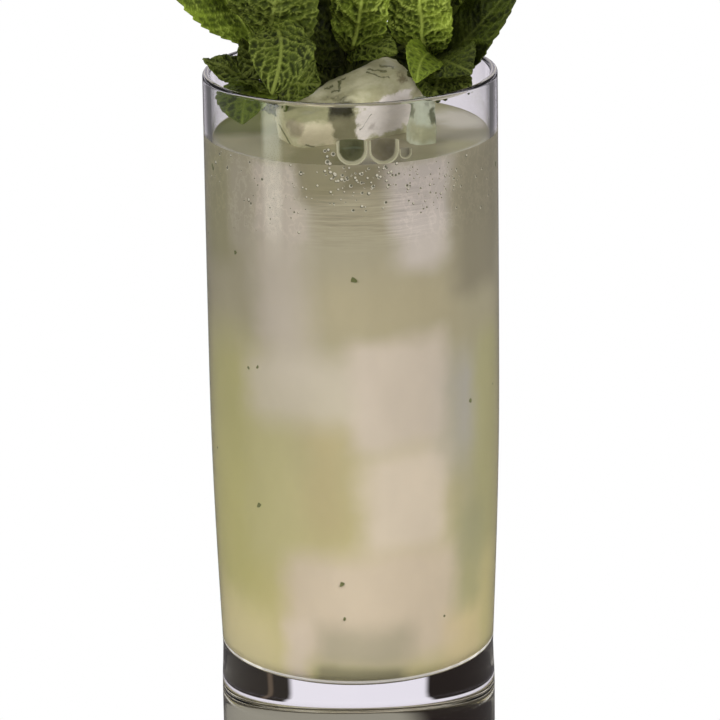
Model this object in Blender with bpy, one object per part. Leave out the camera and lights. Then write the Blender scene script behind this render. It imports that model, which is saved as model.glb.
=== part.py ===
"""A mint collins: a tall straight-sided glass of cloudy lime drink, two blocks of ice that
stand out of it, and three sprigs of mint.

Units are metres and +Z is up. The origin is the middle of the glass's foot, with +Y at the
back.
"""

import math
from dataclasses import dataclass

import bmesh
import bpy
from mathutils import Euler, Vector, noise

MM = 0.001
GAP = 0.3 * MM
SEAM_MERGE = 0.005 * MM

# Glass: heights from the foot, and outer radii
GLASS_HEIGHT = 157.6 * MM
FOOT_ROUND = 3.0 * MM
FOOT_RADIUS = 31.6 * MM
FOOT_TOP = 12.3 * MM
WAIST_HEIGHT = 22.6 * MM
WAIST_RADIUS = 31.25 * MM
SHOULDER_HEIGHT = 87.6 * MM
BODY_RADIUS = 32.8 * MM
RIM_RADIUS = 32.6 * MM
WALL = 2.0 * MM
RIM_WALL = 1.7 * MM
FLOOR_HEIGHT = 22.3 * MM
FLOOR_DISH = 0.5 * MM
FLOOR_ROUND = 5.0 * MM
GLASS_SIDES = 44
ROUND_STEPS = 3
OUTER_LEVELS_MM = (12.3, 17.3, 22.6, 30.3, 43.3, 60.3, 87.6)
INNER_LEVELS_MM = (35.3, 55.3, 87.6)

# Drink
DRINK_LEVEL = 143.6 * MM

# Ice: how far each face is pushed about by melting
MELT = 1.1 * MM
MELT_SPAN = 9.0 * MM
ICE_CUTS = 4

# Mint
STEM_RADIUS = 1.5 * MM
STEM_TIP_RADIUS = 0.9 * MM
STEM_SIDES = 8
STEM_RINGS = 9
LEAF_THICKNESS = 0.8 * MM
LEAF_STATIONS = 8
LEAF_STRIPS = 4
TUFT_STATIONS = 5
TUFT_STRIPS = 2
PETIOLE_WIDTH = 1.5 * MM
PETIOLE_SHARE = 0.10
TOOTH = 0.07
RIPPLES = 2.2
RIPPLE_TWIST = 0.8
RIPPLE_STEP = 0.37
TUFT_LEAVES = 3
TUFT_LENGTH = 11.0 * MM
TUFT_WIDTH = 6.5 * MM


@dataclass
class Leaf:
    """A mint leaf, with its places in millimetres.

    root is where it leaves the stem, from 0 at the stem's foot to 1 at its tip. bend and tip
    are the midrib's control point and end. facing is the way its upper side looks. fold is
    the slope of its two halves, ruffle the wave of its margin as a share of the width, and
    belly the share of its length at which it is widest.
    """

    root: float
    bend: tuple
    tip: tuple
    width: float
    facing: tuple
    fold: float
    ruffle: float
    belly: float = 0.42


@dataclass
class Sprig:
    """A stem, as three points in millimetres, with its leaves."""

    name: str
    stem: tuple
    leaves: tuple


@dataclass
class Block:
    """A block of ice: its middle, size and edge rounding in millimetres, and its turns in degrees."""

    name: str
    middle: tuple
    size: tuple
    turns: tuple
    rounding: float
    seed: int


ICE_BLOCKS = (
    Block("ice_front", (0.3, -0.6, 142.3), (33.0, 14.0, 26.0), (14.0, -14.0, 28.0), 4.0, 3),
    Block("ice_side", (15.5, -10.2, 147.6), (5.2, 6.0, 12.4), (4.0, 3.0, 20.0), 2.0, 8),
)

LEFT_LEAVES = (
    Leaf(0.62, (-24.5, 2.0, 172.3), (-43.0, 4.0, 191.3), 20.0, (0.45, -0.85, 0.3), 0.18, 0.04, 0.58),
    Leaf(0.72, (-15.5, -8.0, 171.3), (-14.0, -8.0, 192.3), 20.0, (-0.2, -0.96, 0.1), 0.18, 0.07),
    Leaf(0.85, (-11.5, -18.0, 173.3), (-16.8, -21.3, 157.3), 14.5, (0.1, -0.75, 0.65), 0.22, 0.12, 0.60),
    Leaf(0.44, (-21.5, -7.0, 157.9), (-32.2, -3.5, 160.9), 13.0, (-0.05, -0.42, 0.9), 0.12, 0.07, 0.37),
    Leaf(0.42, (-23.5, -4.0, 158.3), (-23.2, -13.0, 148.8), 13.0, (-0.15, -0.85, 0.5), 0.10, 0.05, 0.60),
    Leaf(0.62, (-24.0, 16.0, 169.3), (-31.0, 30.0, 177.3), 19.0, (0.2, 0.4, 0.9), 0.18, 0.05),
    Leaf(0.46, (-15.5, -3.0, 157.7), (-8.5, -10.5, 159.5), 14.0, (0.0, -0.8, 0.55), 0.16, 0.08, 0.50),
    Leaf(0.52, (-17.5, 2.0, 162.3), (-23.5, -3.5, 156.8), 14.0, (0.0, -0.8, 0.6), 0.16, 0.06, 0.50),
)

CENTRE_LEAVES = (
    Leaf(0.55, (3.6, -2.0, 169.8), (3.5, -6.0, 189.8), 13.0, (-0.15, -0.97, 0.1), 0.16, 0.06),
    Leaf(0.50, (-5.0, 6.0, 165.3), (-6.0, 4.0, 186.3), 17.0, (0.5, -0.85, 0.1), 0.20, 0.06),
    Leaf(0.62, (3.0, 5.0, 162.3), (10.5, -2.5, 161.6), 9.5, (-0.1, -0.7, 0.7), 0.18, 0.05, 0.50),
    Leaf(0.60, (0.0, 26.0, 165.3), (-4.0, 38.0, 175.3), 20.0, (0.0, 0.4, 0.9), 0.18, 0.05),
    Leaf(0.80, (6.0, 19.0, 177.3), (9.0, 28.0, 187.3), 16.0, (-0.2, 0.6, 0.7), 0.18, 0.06),
    Leaf(0.32, (-3.0, 12.0, 153.8), (-15.0, 7.0, 157.1), 17.0, (0.1, -0.95, 0.25), 0.16, 0.06, 0.50),
    Leaf(0.50, (6.0, 13.5, 156.8), (16.6, 12.6, 161.5), 13.5, (0.1, -0.9, 0.4), 0.12, 0.05, 0.50),
)

RIGHT_LEAVES = (
    Leaf(0.60, (14.6, -2.0, 166.3), (16.2, -2.0, 189.3), 16.0, (-0.3, -0.95, 0.1), 0.24, 0.05, 0.48),
    Leaf(0.66, (21.6, 7.5, 166.3), (26.5, 8.0, 184.8), 20.0, (-0.4, -0.88, 0.2), 0.18, 0.06),
    Leaf(0.54, (26.0, -3.0, 163.3), (38.0, 2.0, 177.8), 14.5, (-0.7, -0.65, 0.25), 0.16, 0.04),
    Leaf(0.60, (21.1, -10.0, 162.3), (26.5, -11.5, 158.8), 14.0, (-0.1, -0.6, 0.8), 0.16, 0.06),
    Leaf(0.65, (15.3, -10.0, 164.1), (14.4, -14.5, 157.7), 9.0, (0.3, -0.7, 0.6), 0.28, 0.03),
    Leaf(0.44, (23.5, -3.0, 155.8), (26.0, -11.0, 154.8), 8.0, (-0.1, -0.6, 0.8), 0.16, 0.05),
    Leaf(0.62, (26.0, 18.0, 167.3), (33.0, 29.0, 176.3), 19.0, (-0.2, 0.4, 0.9), 0.18, 0.05),
    Leaf(0.52, (22.0, -3.0, 157.3), (19.6, -14.5, 153.1), 12.5, (0.1, -0.75, 0.65), 0.16, 0.06, 0.55),
)

SPRIGS = (
    Sprig("mint_left", ((-13.0, 9.0, 134.3), (-17.5, 9.0, 152.3), (-21.0, 3.0, 171.3)), LEFT_LEAVES),
    Sprig("mint_centre", ((1.0, 15.0, 134.3), (0.0, 15.0, 153.3), (-2.0, 10.0, 173.3)), CENTRE_LEAVES),
    Sprig("mint_right", ((13.0, 15.5, 134.3), (15.0, 14.5, 152.3), (24.0, 5.0, 171.3)), RIGHT_LEAVES),
)


# Shared helpers

def remove_all_objects():
    """Empty the scene."""
    for old in list(bpy.data.objects):
        bpy.data.objects.remove(old, do_unlink=True)


def material(name, colour, roughness, transmission=0.0):
    """Return a new Principled material of one colour."""
    made = bpy.data.materials.new(name)
    made.use_nodes = True
    shader = made.node_tree.nodes["Principled BSDF"]
    shader.inputs["Base Color"].default_value = (*colour, 1.0)
    shader.inputs["Roughness"].default_value = roughness
    shader.inputs["Metallic"].default_value = 0.0
    shader.inputs["Transmission Weight"].default_value = transmission
    return made


def add_object(name, mesh_data, finish=None, smooth_angle=40.0):
    """Turn a bmesh into a named object of triangles in the scene, and free the bmesh."""
    bmesh.ops.recalc_face_normals(mesh_data, faces=mesh_data.faces)
    bmesh.ops.triangulate(mesh_data, faces=mesh_data.faces)
    mesh = bpy.data.meshes.new(name)
    mesh_data.to_mesh(mesh)
    mesh_data.free()
    mesh.shade_smooth()
    mesh.set_sharp_from_angle(angle=math.radians(smooth_angle))
    made = bpy.data.objects.new(name, mesh)
    if finish is not None:
        mesh.materials.append(finish)
    bpy.context.scene.collection.objects.link(made)
    return made


def clean_seams(mesh, merge):
    """Split a Boolean's result into triangles, its near-equal points merged where asked."""
    mesh_data = bmesh.new()
    mesh_data.from_mesh(mesh)
    if merge:
        bmesh.ops.remove_doubles(mesh_data, verts=mesh_data.verts, dist=SEAM_MERGE)
        bmesh.ops.dissolve_degenerate(mesh_data, edges=mesh_data.edges, dist=SEAM_MERGE)
    bmesh.ops.triangulate(mesh_data, faces=mesh_data.faces)
    mesh_data.to_mesh(mesh)
    mesh_data.free()


def apply_boolean(target, others, operation):
    """Join or cut target with the other objects, which are then removed."""
    group = bpy.data.collections.new("operands")
    bpy.context.scene.collection.children.link(group)
    for other in others:
        bpy.context.scene.collection.objects.unlink(other)
        group.objects.link(other)
    cut = target.modifiers.new(operation.title(), "BOOLEAN")
    cut.operation = operation
    cut.solver = "EXACT"
    cut.operand_type = "COLLECTION"
    cut.collection = group
    depsgraph = bpy.context.evaluated_depsgraph_get()
    result = bpy.data.meshes.new_from_object(target.evaluated_get(depsgraph))
    target.modifiers.clear()
    target.data = result
    clean_seams(result, operation == "DIFFERENCE")
    for other in others:
        bpy.data.objects.remove(other, do_unlink=True)
    bpy.data.collections.remove(group)


def bezier(points, share):
    """Return a quadratic curve's point and direction at a share of its length from 0 to 1."""
    start, bend, end = points
    rest = 1.0 - share
    place = start * (rest * rest) + bend * (2.0 * rest * share) + end * (share * share)
    way = (bend - start) * rest + (end - bend) * share
    return place, way.normalized()


def in_metres(point):
    """Return a point given in millimetres as a vector in metres."""
    return Vector(point) * MM


def turned(profile, sides):
    """Turn an outline of (radius, height) points about Z, closed at its two ends on the axis."""
    mesh_data = bmesh.new()
    rings = []
    for radius, height in profile[1:-1]:
        ring = []
        for side in range(sides):
            angle = 2.0 * math.pi * side / sides
            ring.append(mesh_data.verts.new((radius * math.cos(angle), radius * math.sin(angle), height)))
        rings.append(ring)
    first = mesh_data.verts.new((0.0, 0.0, profile[0][1]))
    last = mesh_data.verts.new((0.0, 0.0, profile[-1][1]))
    for side in range(sides):
        after = (side + 1) % sides
        mesh_data.faces.new((first, rings[0][after], rings[0][side]))
        mesh_data.faces.new((last, rings[-1][side], rings[-1][after]))
        for lower, upper in zip(rings, rings[1:]):
            mesh_data.faces.new((lower[side], lower[after], upper[after], upper[side]))
    return mesh_data


def arc(middle_radius, middle_height, radius, start, end, steps):
    """Return points of an arc in the outline's plane, with its angles in degrees."""
    points = []
    for step in range(steps + 1):
        angle = math.radians(start + (end - start) * step / steps)
        points.append((middle_radius + radius * math.cos(angle), middle_height + radius * math.sin(angle)))
    return points


# Glass and drink

def outer_radius(height):
    """Return the glass's outer radius at a height: foot, waist, then widening to the body."""
    if height <= FOOT_TOP:
        return FOOT_RADIUS
    if height <= WAIST_HEIGHT:
        share = (height - FOOT_TOP) / (WAIST_HEIGHT - FOOT_TOP)
        return FOOT_RADIUS + (WAIST_RADIUS - FOOT_RADIUS) * (1.0 - math.cos(math.pi * share)) / 2.0
    if height <= SHOULDER_HEIGHT:
        share = (height - WAIST_HEIGHT) / (SHOULDER_HEIGHT - WAIST_HEIGHT)
        return WAIST_RADIUS + (BODY_RADIUS - WAIST_RADIUS) * math.sin(math.pi / 2.0 * share)
    share = (height - SHOULDER_HEIGHT) / (GLASS_HEIGHT - SHOULDER_HEIGHT)
    return BODY_RADIUS + (RIM_RADIUS - BODY_RADIUS) * share * share


def inner_radius(height):
    """Return the glass's inner radius at a height above the floor's round corner."""
    share = max(0.0, (height - SHOULDER_HEIGHT) / (GLASS_HEIGHT - SHOULDER_HEIGHT))
    return outer_radius(height) - WALL - (RIM_WALL - WALL) * share


def inner_outline(top, clearance):
    """Return the inside's outline from the middle of the floor up to a height."""
    floor = FLOOR_HEIGHT + clearance
    corner_height = floor + FLOOR_ROUND
    corner_radius = inner_radius(corner_height) - clearance - FLOOR_ROUND
    points = [(0.0, floor - FLOOR_DISH), (corner_radius * 0.6, floor - FLOOR_DISH * 0.5)]
    points += arc(corner_radius, corner_height, FLOOR_ROUND, -90.0, 0.0, ROUND_STEPS)
    points += [(inner_radius(level * MM) - clearance, level * MM) for level in INNER_LEVELS_MM]
    points.append((inner_radius(top) - clearance, top))
    return points


def build_glass():
    """Make the glass: a thick foot, a thin wall and a round lip."""
    lip = RIM_WALL / 2.0
    lip_height = GLASS_HEIGHT - lip
    outline = [(0.0, 0.0), (FOOT_RADIUS * 0.5, 0.0)]
    outline += arc(FOOT_RADIUS - FOOT_ROUND, FOOT_ROUND, FOOT_ROUND, -90.0, 0.0, ROUND_STEPS)
    outline += [(outer_radius(level * MM), level * MM) for level in OUTER_LEVELS_MM]
    outline += arc(RIM_RADIUS - lip, lip_height, lip, 0.0, 180.0, 2 * ROUND_STEPS)
    inside = inner_outline(lip_height, 0.0)[:-1]
    outline += inside[::-1]
    finish = material("clear_glass", (0.93, 0.95, 0.94), 0.02, 0.9)
    return add_object("glass", turned(outline, GLASS_SIDES), finish)


def build_drink(cutters):
    """Make the drink up to its level, cut round the ice and the stems that stand in it."""
    outline = inner_outline(DRINK_LEVEL, GAP)
    outline += [(outline[-1][0] * 0.5, DRINK_LEVEL), (0.0, DRINK_LEVEL)]
    finish = material("cloudy_lime", (0.56, 0.53, 0.38), 0.25)
    drink = add_object("drink", turned(outline, GLASS_SIDES), finish)
    apply_boolean(drink, cutters, "DIFFERENCE")
    return drink


# Ice

def ice_mesh(block, clearance):
    """Return a melted block of ice, grown all over by a clearance."""
    mesh_data = bmesh.new()
    bmesh.ops.create_cube(mesh_data, size=1.0)
    size = Vector(block.size) * MM
    bmesh.ops.scale(mesh_data, vec=size, verts=mesh_data.verts)
    bmesh.ops.subdivide_edges(mesh_data, edges=mesh_data.edges, cuts=ICE_CUTS, use_grid_fill=True)
    half = size / 2.0
    turn = Euler([math.radians(angle) for angle in block.turns]).to_matrix()
    middle = in_metres(block.middle)
    rounding = block.rounding * MM
    for vert in mesh_data.verts:
        reach = [edge - rounding for edge in half]
        core = Vector([max(-edge, min(edge, value)) for edge, value in zip(reach, vert.co)])
        outward = (vert.co - core).normalized()
        dent = noise.noise(vert.co / MELT_SPAN + Vector((block.seed, 0.0, 0.0))) * MELT
        vert.co = core + outward * (rounding + dent + clearance)
        vert.co = turn @ vert.co + middle
    return mesh_data


def build_ice(block):
    """Make one block of ice."""
    return add_object(block.name, ice_mesh(block, 0.0), material(block.name, (0.80, 0.82, 0.78), 0.1, 0.6))


# Mint

def stem_mesh(sprig, clearance):
    """Return a sprig's stem, a tapered tube, grown by a clearance."""
    points = [in_metres(point) for point in sprig.stem]
    mesh_data = bmesh.new()
    rings = []
    for step in range(STEM_RINGS):
        share = step / (STEM_RINGS - 1)
        place, way = bezier(points, share)
        if step == 0:
            place = place - way * clearance
        across = way.cross(Vector((0.0, 1.0, 0.0))).normalized()
        beside = way.cross(across)
        radius = STEM_RADIUS + (STEM_TIP_RADIUS - STEM_RADIUS) * share + clearance
        ring = []
        for side in range(STEM_SIDES):
            angle = 2.0 * math.pi * side / STEM_SIDES
            outward = across * math.cos(angle) + beside * math.sin(angle)
            ring.append(mesh_data.verts.new(place + outward * radius))
        rings.append(ring)
    for lower, upper in zip(rings, rings[1:]):
        for side in range(STEM_SIDES):
            after = (side + 1) % STEM_SIDES
            mesh_data.faces.new((lower[side], lower[after], upper[after], upper[side]))
    mesh_data.faces.new(rings[0][::-1])
    mesh_data.faces.new(rings[-1])
    return mesh_data


def half_width(share, width, belly):
    """Return half a leaf's width at a share of its length: petiole, egg shape, pointed tip."""
    blade = max(0.0, (share - PETIOLE_SHARE) / (1.0 - PETIOLE_SHARE))
    skew = math.log(0.5) / math.log(belly)
    egg = math.sin(math.pi * blade ** skew) ** 0.8 if 0.0 < blade < 1.0 else 0.0
    least = PETIOLE_WIDTH / 2.0 * (1.0 if share < 0.5 else 0.35)
    return max(least, width / 2.0 * egg)


def leaf_mesh(leaf, root, wave, stations, strips):
    """Return one leaf as a thin wavy solid: a folded, ruffled blade with a toothed margin."""
    points = [root, in_metres(leaf.bend), in_metres(leaf.tip)]
    width = leaf.width * MM
    facing = Vector(leaf.facing).normalized()
    mesh_data = bmesh.new()
    upper, lower = [], []
    for station in range(stations + 1):
        share = station / stations
        place, way = bezier(points, share)
        across = way.cross(facing).normalized()
        normal = across.cross(way)
        half = half_width(share, width, leaf.belly)
        if share > PETIOLE_SHARE:
            half *= 1.0 + TOOTH * (1.0 if station % 2 else -1.0)
        upper_row, lower_row = [], []
        for strip in range(strips + 1):
            side = 2.0 * strip / strips - 1.0
            swell = math.sin(math.pi * share) * side * side
            twist = math.copysign(RIPPLE_TWIST, side)
            ripple = math.sin(2.0 * math.pi * (RIPPLES * share + wave) + twist)
            lift = leaf.fold * abs(side) * half + leaf.ruffle * width * swell * ripple
            point = place + across * (side * half) + normal * lift
            upper_row.append(mesh_data.verts.new(point + normal * (LEAF_THICKNESS / 2.0)))
            lower_row.append(mesh_data.verts.new(point - normal * (LEAF_THICKNESS / 2.0)))
        upper.append(upper_row)
        lower.append(lower_row)
    for station in range(stations):
        for strip in range(strips):
            for rows in (upper, lower):
                corner = rows[station][strip]
                far = rows[station + 1][strip + 1]
                mesh_data.faces.new((corner, rows[station + 1][strip], far))
                mesh_data.faces.new((corner, far, rows[station][strip + 1]))
    rim = [(station, 0) for station in range(stations)]
    rim += [(stations, strip) for strip in range(strips)]
    rim += [(station, strips) for station in range(stations, 0, -1)]
    rim += [(0, strip) for strip in range(strips, 0, -1)]
    for here, there in zip(rim, rim[1:] + rim[:1]):
        top_here, top_there = upper[here[0]][here[1]], upper[there[0]][there[1]]
        low_here, low_there = lower[here[0]][here[1]], lower[there[0]][there[1]]
        mesh_data.faces.new((top_here, top_there, low_there))
        mesh_data.faces.new((top_here, low_there, low_here))
    return mesh_data


def tuft_leaves(sprig):
    """Return the small young leaves that close a sprig's top, spread round its stem."""
    top, way = bezier([Vector(point) for point in sprig.stem], 1.0)
    leaves = []
    for number in range(TUFT_LEAVES):
        angle = 2.0 * math.pi * (number / TUFT_LEAVES + 0.11 * len(sprig.leaves))
        out = Vector((math.cos(angle), math.sin(angle), 0.0))
        length = TUFT_LENGTH / MM * (1.0 if number % 2 else 0.72)
        bend = top + out * (length * 0.30) + way * (length * 0.45)
        tip = top + out * (length * 0.62) + way * (length * 0.95)
        facing = way - out * 1.4
        leaves.append(Leaf(0.97, tuple(bend), tuple(tip), TUFT_WIDTH / MM, tuple(facing), 0.25, 0.04))
    return leaves


def build_sprig(sprig, finish):
    """Make one sprig of mint: its stem and all its leaves, fused into one solid."""
    body = add_object(sprig.name, stem_mesh(sprig, 0.0), finish)
    stem = [in_metres(point) for point in sprig.stem]
    blades = []
    grids = [(leaf, LEAF_STATIONS, LEAF_STRIPS) for leaf in sprig.leaves]
    grids += [(leaf, TUFT_STATIONS, TUFT_STRIPS) for leaf in tuft_leaves(sprig)]
    for number, (leaf, stations, strips) in enumerate(grids):
        root, _ = bezier(stem, leaf.root)
        blade = leaf_mesh(leaf, root, RIPPLE_STEP * number, stations, strips)
        blades.append(add_object(f"{sprig.name}_leaf_{number}", blade))
    apply_boolean(body, blades, "UNION")
    return body


def build():
    """Make the whole drink."""
    remove_all_objects()
    build_glass()
    for block in ICE_BLOCKS:
        build_ice(block)
    cutters = [add_object(f"{block.name}_room", ice_mesh(block, GAP)) for block in ICE_BLOCKS]
    for sprig in SPRIGS:
        build_sprig(sprig, material(sprig.name, (0.13, 0.24, 0.05), 0.45))
        cutters.append(add_object(f"{sprig.name}_room", stem_mesh(sprig, GAP)))
    build_drink(cutters)


build()
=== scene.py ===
"""The looks of a mint collins: a tall glass of cloudy lime drink with ice and sprigs of mint.

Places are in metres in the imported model's frame: +Z is up, the origin is the middle of the
glass's foot, and the front looks towards -Y. Finishes, leaves, ice and bubbles give their
sizes in millimetres, and their turns in degrees from the front.
"""

import logging
import math
import random
from contextlib import contextmanager
from dataclasses import dataclass, field
from enum import Enum
from typing import Iterator, Optional, Sequence, Union

import bpy
import numpy as np
from mathutils import Euler, Matrix, Vector, noise

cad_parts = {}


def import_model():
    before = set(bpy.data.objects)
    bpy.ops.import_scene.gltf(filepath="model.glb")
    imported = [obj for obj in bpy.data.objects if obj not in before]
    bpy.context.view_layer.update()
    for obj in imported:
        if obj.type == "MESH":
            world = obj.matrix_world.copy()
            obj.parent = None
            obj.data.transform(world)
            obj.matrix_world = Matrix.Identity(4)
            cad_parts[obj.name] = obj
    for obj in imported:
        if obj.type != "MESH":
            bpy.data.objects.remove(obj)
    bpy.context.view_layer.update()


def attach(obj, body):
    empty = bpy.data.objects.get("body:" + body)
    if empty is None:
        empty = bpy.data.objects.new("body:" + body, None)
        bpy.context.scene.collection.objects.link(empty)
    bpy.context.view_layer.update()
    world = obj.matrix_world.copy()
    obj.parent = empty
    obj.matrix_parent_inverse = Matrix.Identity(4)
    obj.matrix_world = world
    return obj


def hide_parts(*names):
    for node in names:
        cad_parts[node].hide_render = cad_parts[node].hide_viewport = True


MM = 0.001
LOG = logging.getLogger("mint_collins")
WHITE = (1.0, 1.0, 1.0)
BLACK = (0.0, 0.0, 0.0)

Colour = tuple[float, float, float]
Point = tuple[float, float, float]
Pair = tuple[float, float]
Amount = Union["Value", float]
Tint = Union["Value", Colour]


# Shader expressions


class Ray(Enum):
    """What a surface or the room may ask of the ray that meets it."""

    CAMERA = "Is Camera Ray"
    DIFFUSE = "Is Diffuse Ray"
    GLOSSY = "Is Glossy Ray"
    SHADOW = "Is Shadow Ray"
    PASSED = "Is Transmission Ray"
    PASSES = "Transmission Depth"


class Value:
    """A shader socket that adds Math nodes when it is used in an expression."""

    def __init__(self, graph: "Graph", socket: bpy.types.NodeSocket) -> None:
        """Wrap an output socket of a graph."""
        self.graph = graph
        self.socket = socket

    def math(self, operation: str, *others: Amount) -> "Value":
        """Return a Math node's result, with this as its first operand."""
        return self.graph.math(operation, self, *others)

    def __add__(self, other: Amount) -> "Value":
        """Return self + other."""
        return self.math("ADD", other)

    __radd__ = __add__

    def __mul__(self, other: Amount) -> "Value":
        """Return self * other."""
        return self.math("MULTIPLY", other)

    __rmul__ = __mul__

    def __sub__(self, other: Amount) -> "Value":
        """Return self - other."""
        return self.math("SUBTRACT", other)

    def __rsub__(self, other: Amount) -> "Value":
        """Return other - self."""
        return self.graph.math("SUBTRACT", other, self)

    def __pow__(self, other: Amount) -> "Value":
        """Return self to the power of other."""
        return self.math("POWER", other)

    def __abs__(self) -> "Value":
        """Return the absolute value."""
        return self.math("ABSOLUTE")


class Graph:
    """A material or a world, and the nodes that make it."""

    def __init__(self, name: str, world: bool = False) -> None:
        """Start an empty material, or a world."""
        self.world = world
        self.owner = (bpy.data.worlds if world else bpy.data.materials).new(name)
        self.owner.use_nodes = True
        self.tree = self.owner.node_tree
        self.tree.nodes.clear()

    def node(
        self,
        kind: str,
        settings: Optional[dict] = None,
        inputs: Optional[dict] = None,
        output: Union[int, str] = 0,
    ) -> Value:
        """Add a node of any type.

        Args:
            kind: The node's type, without its ShaderNode.
            settings: Properties, which are set before the inputs.
            inputs: Numbers, tuples or Values, by the socket's identifier, name or number.
            output: The output wanted, by identifier, name or number.

        Returns:
            The wanted output.
        """
        made = self.tree.nodes.new(f"ShaderNode{kind}")
        for key, setting in (settings or {}).items():
            setattr(made, key, setting)
        for key, given in (inputs or {}).items():
            socket = self._socket(made.inputs, key)
            if isinstance(given, Value):
                self.tree.links.new(given.socket, socket)
            else:
                socket.default_value = given
        return Value(self, self._socket(made.outputs, output))

    @staticmethod
    def _socket(sockets: Sequence, key: Union[int, str]) -> bpy.types.NodeSocket:
        """Return a socket by number, identifier or name."""
        if isinstance(key, int):
            return sockets[key]
        for socket in sockets:
            if socket.identifier == key:
                return socket
        return sockets[key]

    def math(self, operation: str, *operands: Amount) -> Value:
        """Return a Math node's result."""
        return self.node("Math", {"operation": operation}, dict(enumerate(operands)))

    def step(self, value: Amount, low: float, high: float) -> Value:
        """Return a smooth step of value: 0 at low and 1 at high."""
        inputs = {"Value": value, "From Min": low, "From Max": high}
        return self.node("MapRange", {"interpolation_type": "SMOOTHSTEP"}, inputs)

    def mix(self, share: Amount, first: Tint, second: Tint) -> Value:
        """Return a colour between first and second."""
        inputs = {"Factor_Float": share}
        for key, colour in (("A_Color", first), ("B_Color", second)):
            inputs[key] = colour if isinstance(colour, Value) else (*colour, 1.0)
        return self.node("Mix", {"data_type": "RGBA"}, inputs, "Result_Color")

    def shade(self, tint: Value, amount: Amount) -> Value:
        """Return a colour scaled by a number."""
        return self.node("VectorMath", {"operation": "SCALE"}, {"Vector": tint, "Scale": amount})

    def place(self) -> Value:
        """Return Object coordinates."""
        return self.node("TexCoord", output="Object")

    def scaled(self, place: Value, scale: Point) -> Value:
        """Return coordinates scaled along each axis."""
        return self.node("Mapping", inputs={"Vector": place, "Scale": scale})

    def noise(
        self, place: Value, scale: float, detail: float = 3.0, roughness: float = 0.5
    ) -> Value:
        """Return a noise from 0 to 1."""
        inputs = {"Vector": place, "Scale": scale, "Detail": detail, "Roughness": roughness}
        return self.node("TexNoise", inputs=inputs, output="Fac")

    def cell_walls(self, place: Value, scale: float) -> Value:
        """Return how far a place is from the walls of a net of cells."""
        inputs = {"Vector": place, "Scale": scale}
        return self.node("TexVoronoi", {"feature": "DISTANCE_TO_EDGE"}, inputs, "Distance")

    def attribute(self, name: str) -> Value:
        """Return a number that the mesh carries at each point."""
        return self.node("Attribute", {"attribute_name": name}, output="Fac")

    def bump(self, height: Value, depth: float, strength: float) -> Value:
        """Return a normal bumped by a height from 0 to 1, depth being in metres."""
        return self.node("Bump", inputs={"Height": height, "Distance": depth, "Strength": strength})

    def principled(self, inputs: dict) -> Value:
        """Return a Principled shader."""
        return self.node("BsdfPrincipled", inputs=inputs)

    def wet(self, tint: Value) -> Value:
        """Return the shader of a wet bubble."""
        return self.principled(
            {"Base Color": tint, "Roughness": 0.2, "IOR": 1.33, "Specular IOR Level": 0.25}
        )

    def blend(self, share: Amount, first: Value, second: Value) -> Value:
        """Return a shader between first and second."""
        return self.node("MixShader", inputs={0: share, 1: first, 2: second})

    def within(self, value: Value, middle: float, reach: float, blur: float) -> Value:
        """Return 1 where value is within reach of middle, fading to 0 over a blur."""
        away = abs(value - middle if middle else value)
        return 1.0 - self.step(away, reach - blur, reach + blur)

    def degrees(self, side: Value, ahead: Value) -> Value:
        """Return the turn of a way that goes side and ahead by two amounts."""
        return self.math("ARCTAN2", side, ahead) * (180.0 / math.pi)

    def split(self, place: Value, unit: float = 1.0) -> tuple[Value, ...]:
        """Return a vector's three parts, counted in a unit."""
        sockets = self.node("SeparateXYZ", inputs={0: place}).socket.node.outputs
        parts = (Value(self, socket) for socket in sockets)
        return tuple(parts) if unit == 1.0 else tuple(part * (1.0 / unit) for part in parts)

    def ray(self, kind: Ray) -> Value:
        """Return a ray's answer: 1 or 0, or its number of passes through a surface."""
        return self.node("LightPath", output=kind.value)

    def finish(self, shader: Value) -> Union[bpy.types.Material, bpy.types.World]:
        """Link the shader to the output and return the material or world."""
        kind = "ShaderNodeOutputWorld" if self.world else "ShaderNodeOutputMaterial"
        output = self.tree.nodes.new(kind)
        self.tree.links.new(shader.socket, output.inputs["Surface"])
        return self.owner


# Finishes

DEGREES_PER_MM = 1.9
LEAF_ATTRIBUTES = ("swell", "tone", "vein", "edge")


@dataclass(frozen=True)
class ClearFinish:
    """Clear glass, whose shadow lets light through."""

    name: str
    tint: Colour = (0.985, 0.99, 0.985)
    ior: float = 1.5

    def build(self) -> bpy.types.Material:
        """Return the material."""
        graph = Graph(self.name)
        tint = (*self.tint, 1.0)
        clear = graph.principled(
            {"Base Color": tint, "Roughness": 0.0, "IOR": self.ior, "Transmission Weight": 1.0}
        )
        through = graph.node("BsdfTransparent", inputs={"Color": tint})
        return graph.finish(graph.blend(graph.ray(Ray.SHADOW), clear, through))


@dataclass(frozen=True)
class Patch:
    """A soft patch of colour in the cloudy drink: pale where ice or clear lime lies behind it, and
    dark where it is painted shade of the ice and mint. On the drink's top the patches are painted
    shadows and reflections.

    On the drink's side middle and reach are (degrees round the glass, height in mm), where 0
    degrees is the front and positive is to the right. On its top they are (x, y) in mm.
    """

    middle: Pair
    reach: Pair
    colour: Colour
    strength: float = 0.8
    blur: float = 5.0

    def lay(
        self, graph: Graph, tint: Value, along: Value, up: Value, stretch: float = 1.0
    ) -> Value:
        """Return a colour with this patch laid over it.

        Args:
            graph: The material's graph.
            tint: The colour under the patch.
            along: How far a place is from the middle, in the first of the patch's directions.
            up: How far it is in the second.
            stretch: How much wider the blur is in the first direction.

        Returns:
            The mixed colour.
        """
        inside = graph.within(along, 0.0, self.reach[0], self.blur * stretch)
        inside = inside * graph.within(up, 0.0, self.reach[1], self.blur)
        return graph.mix(inside * self.strength, tint, self.colour)


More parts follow.
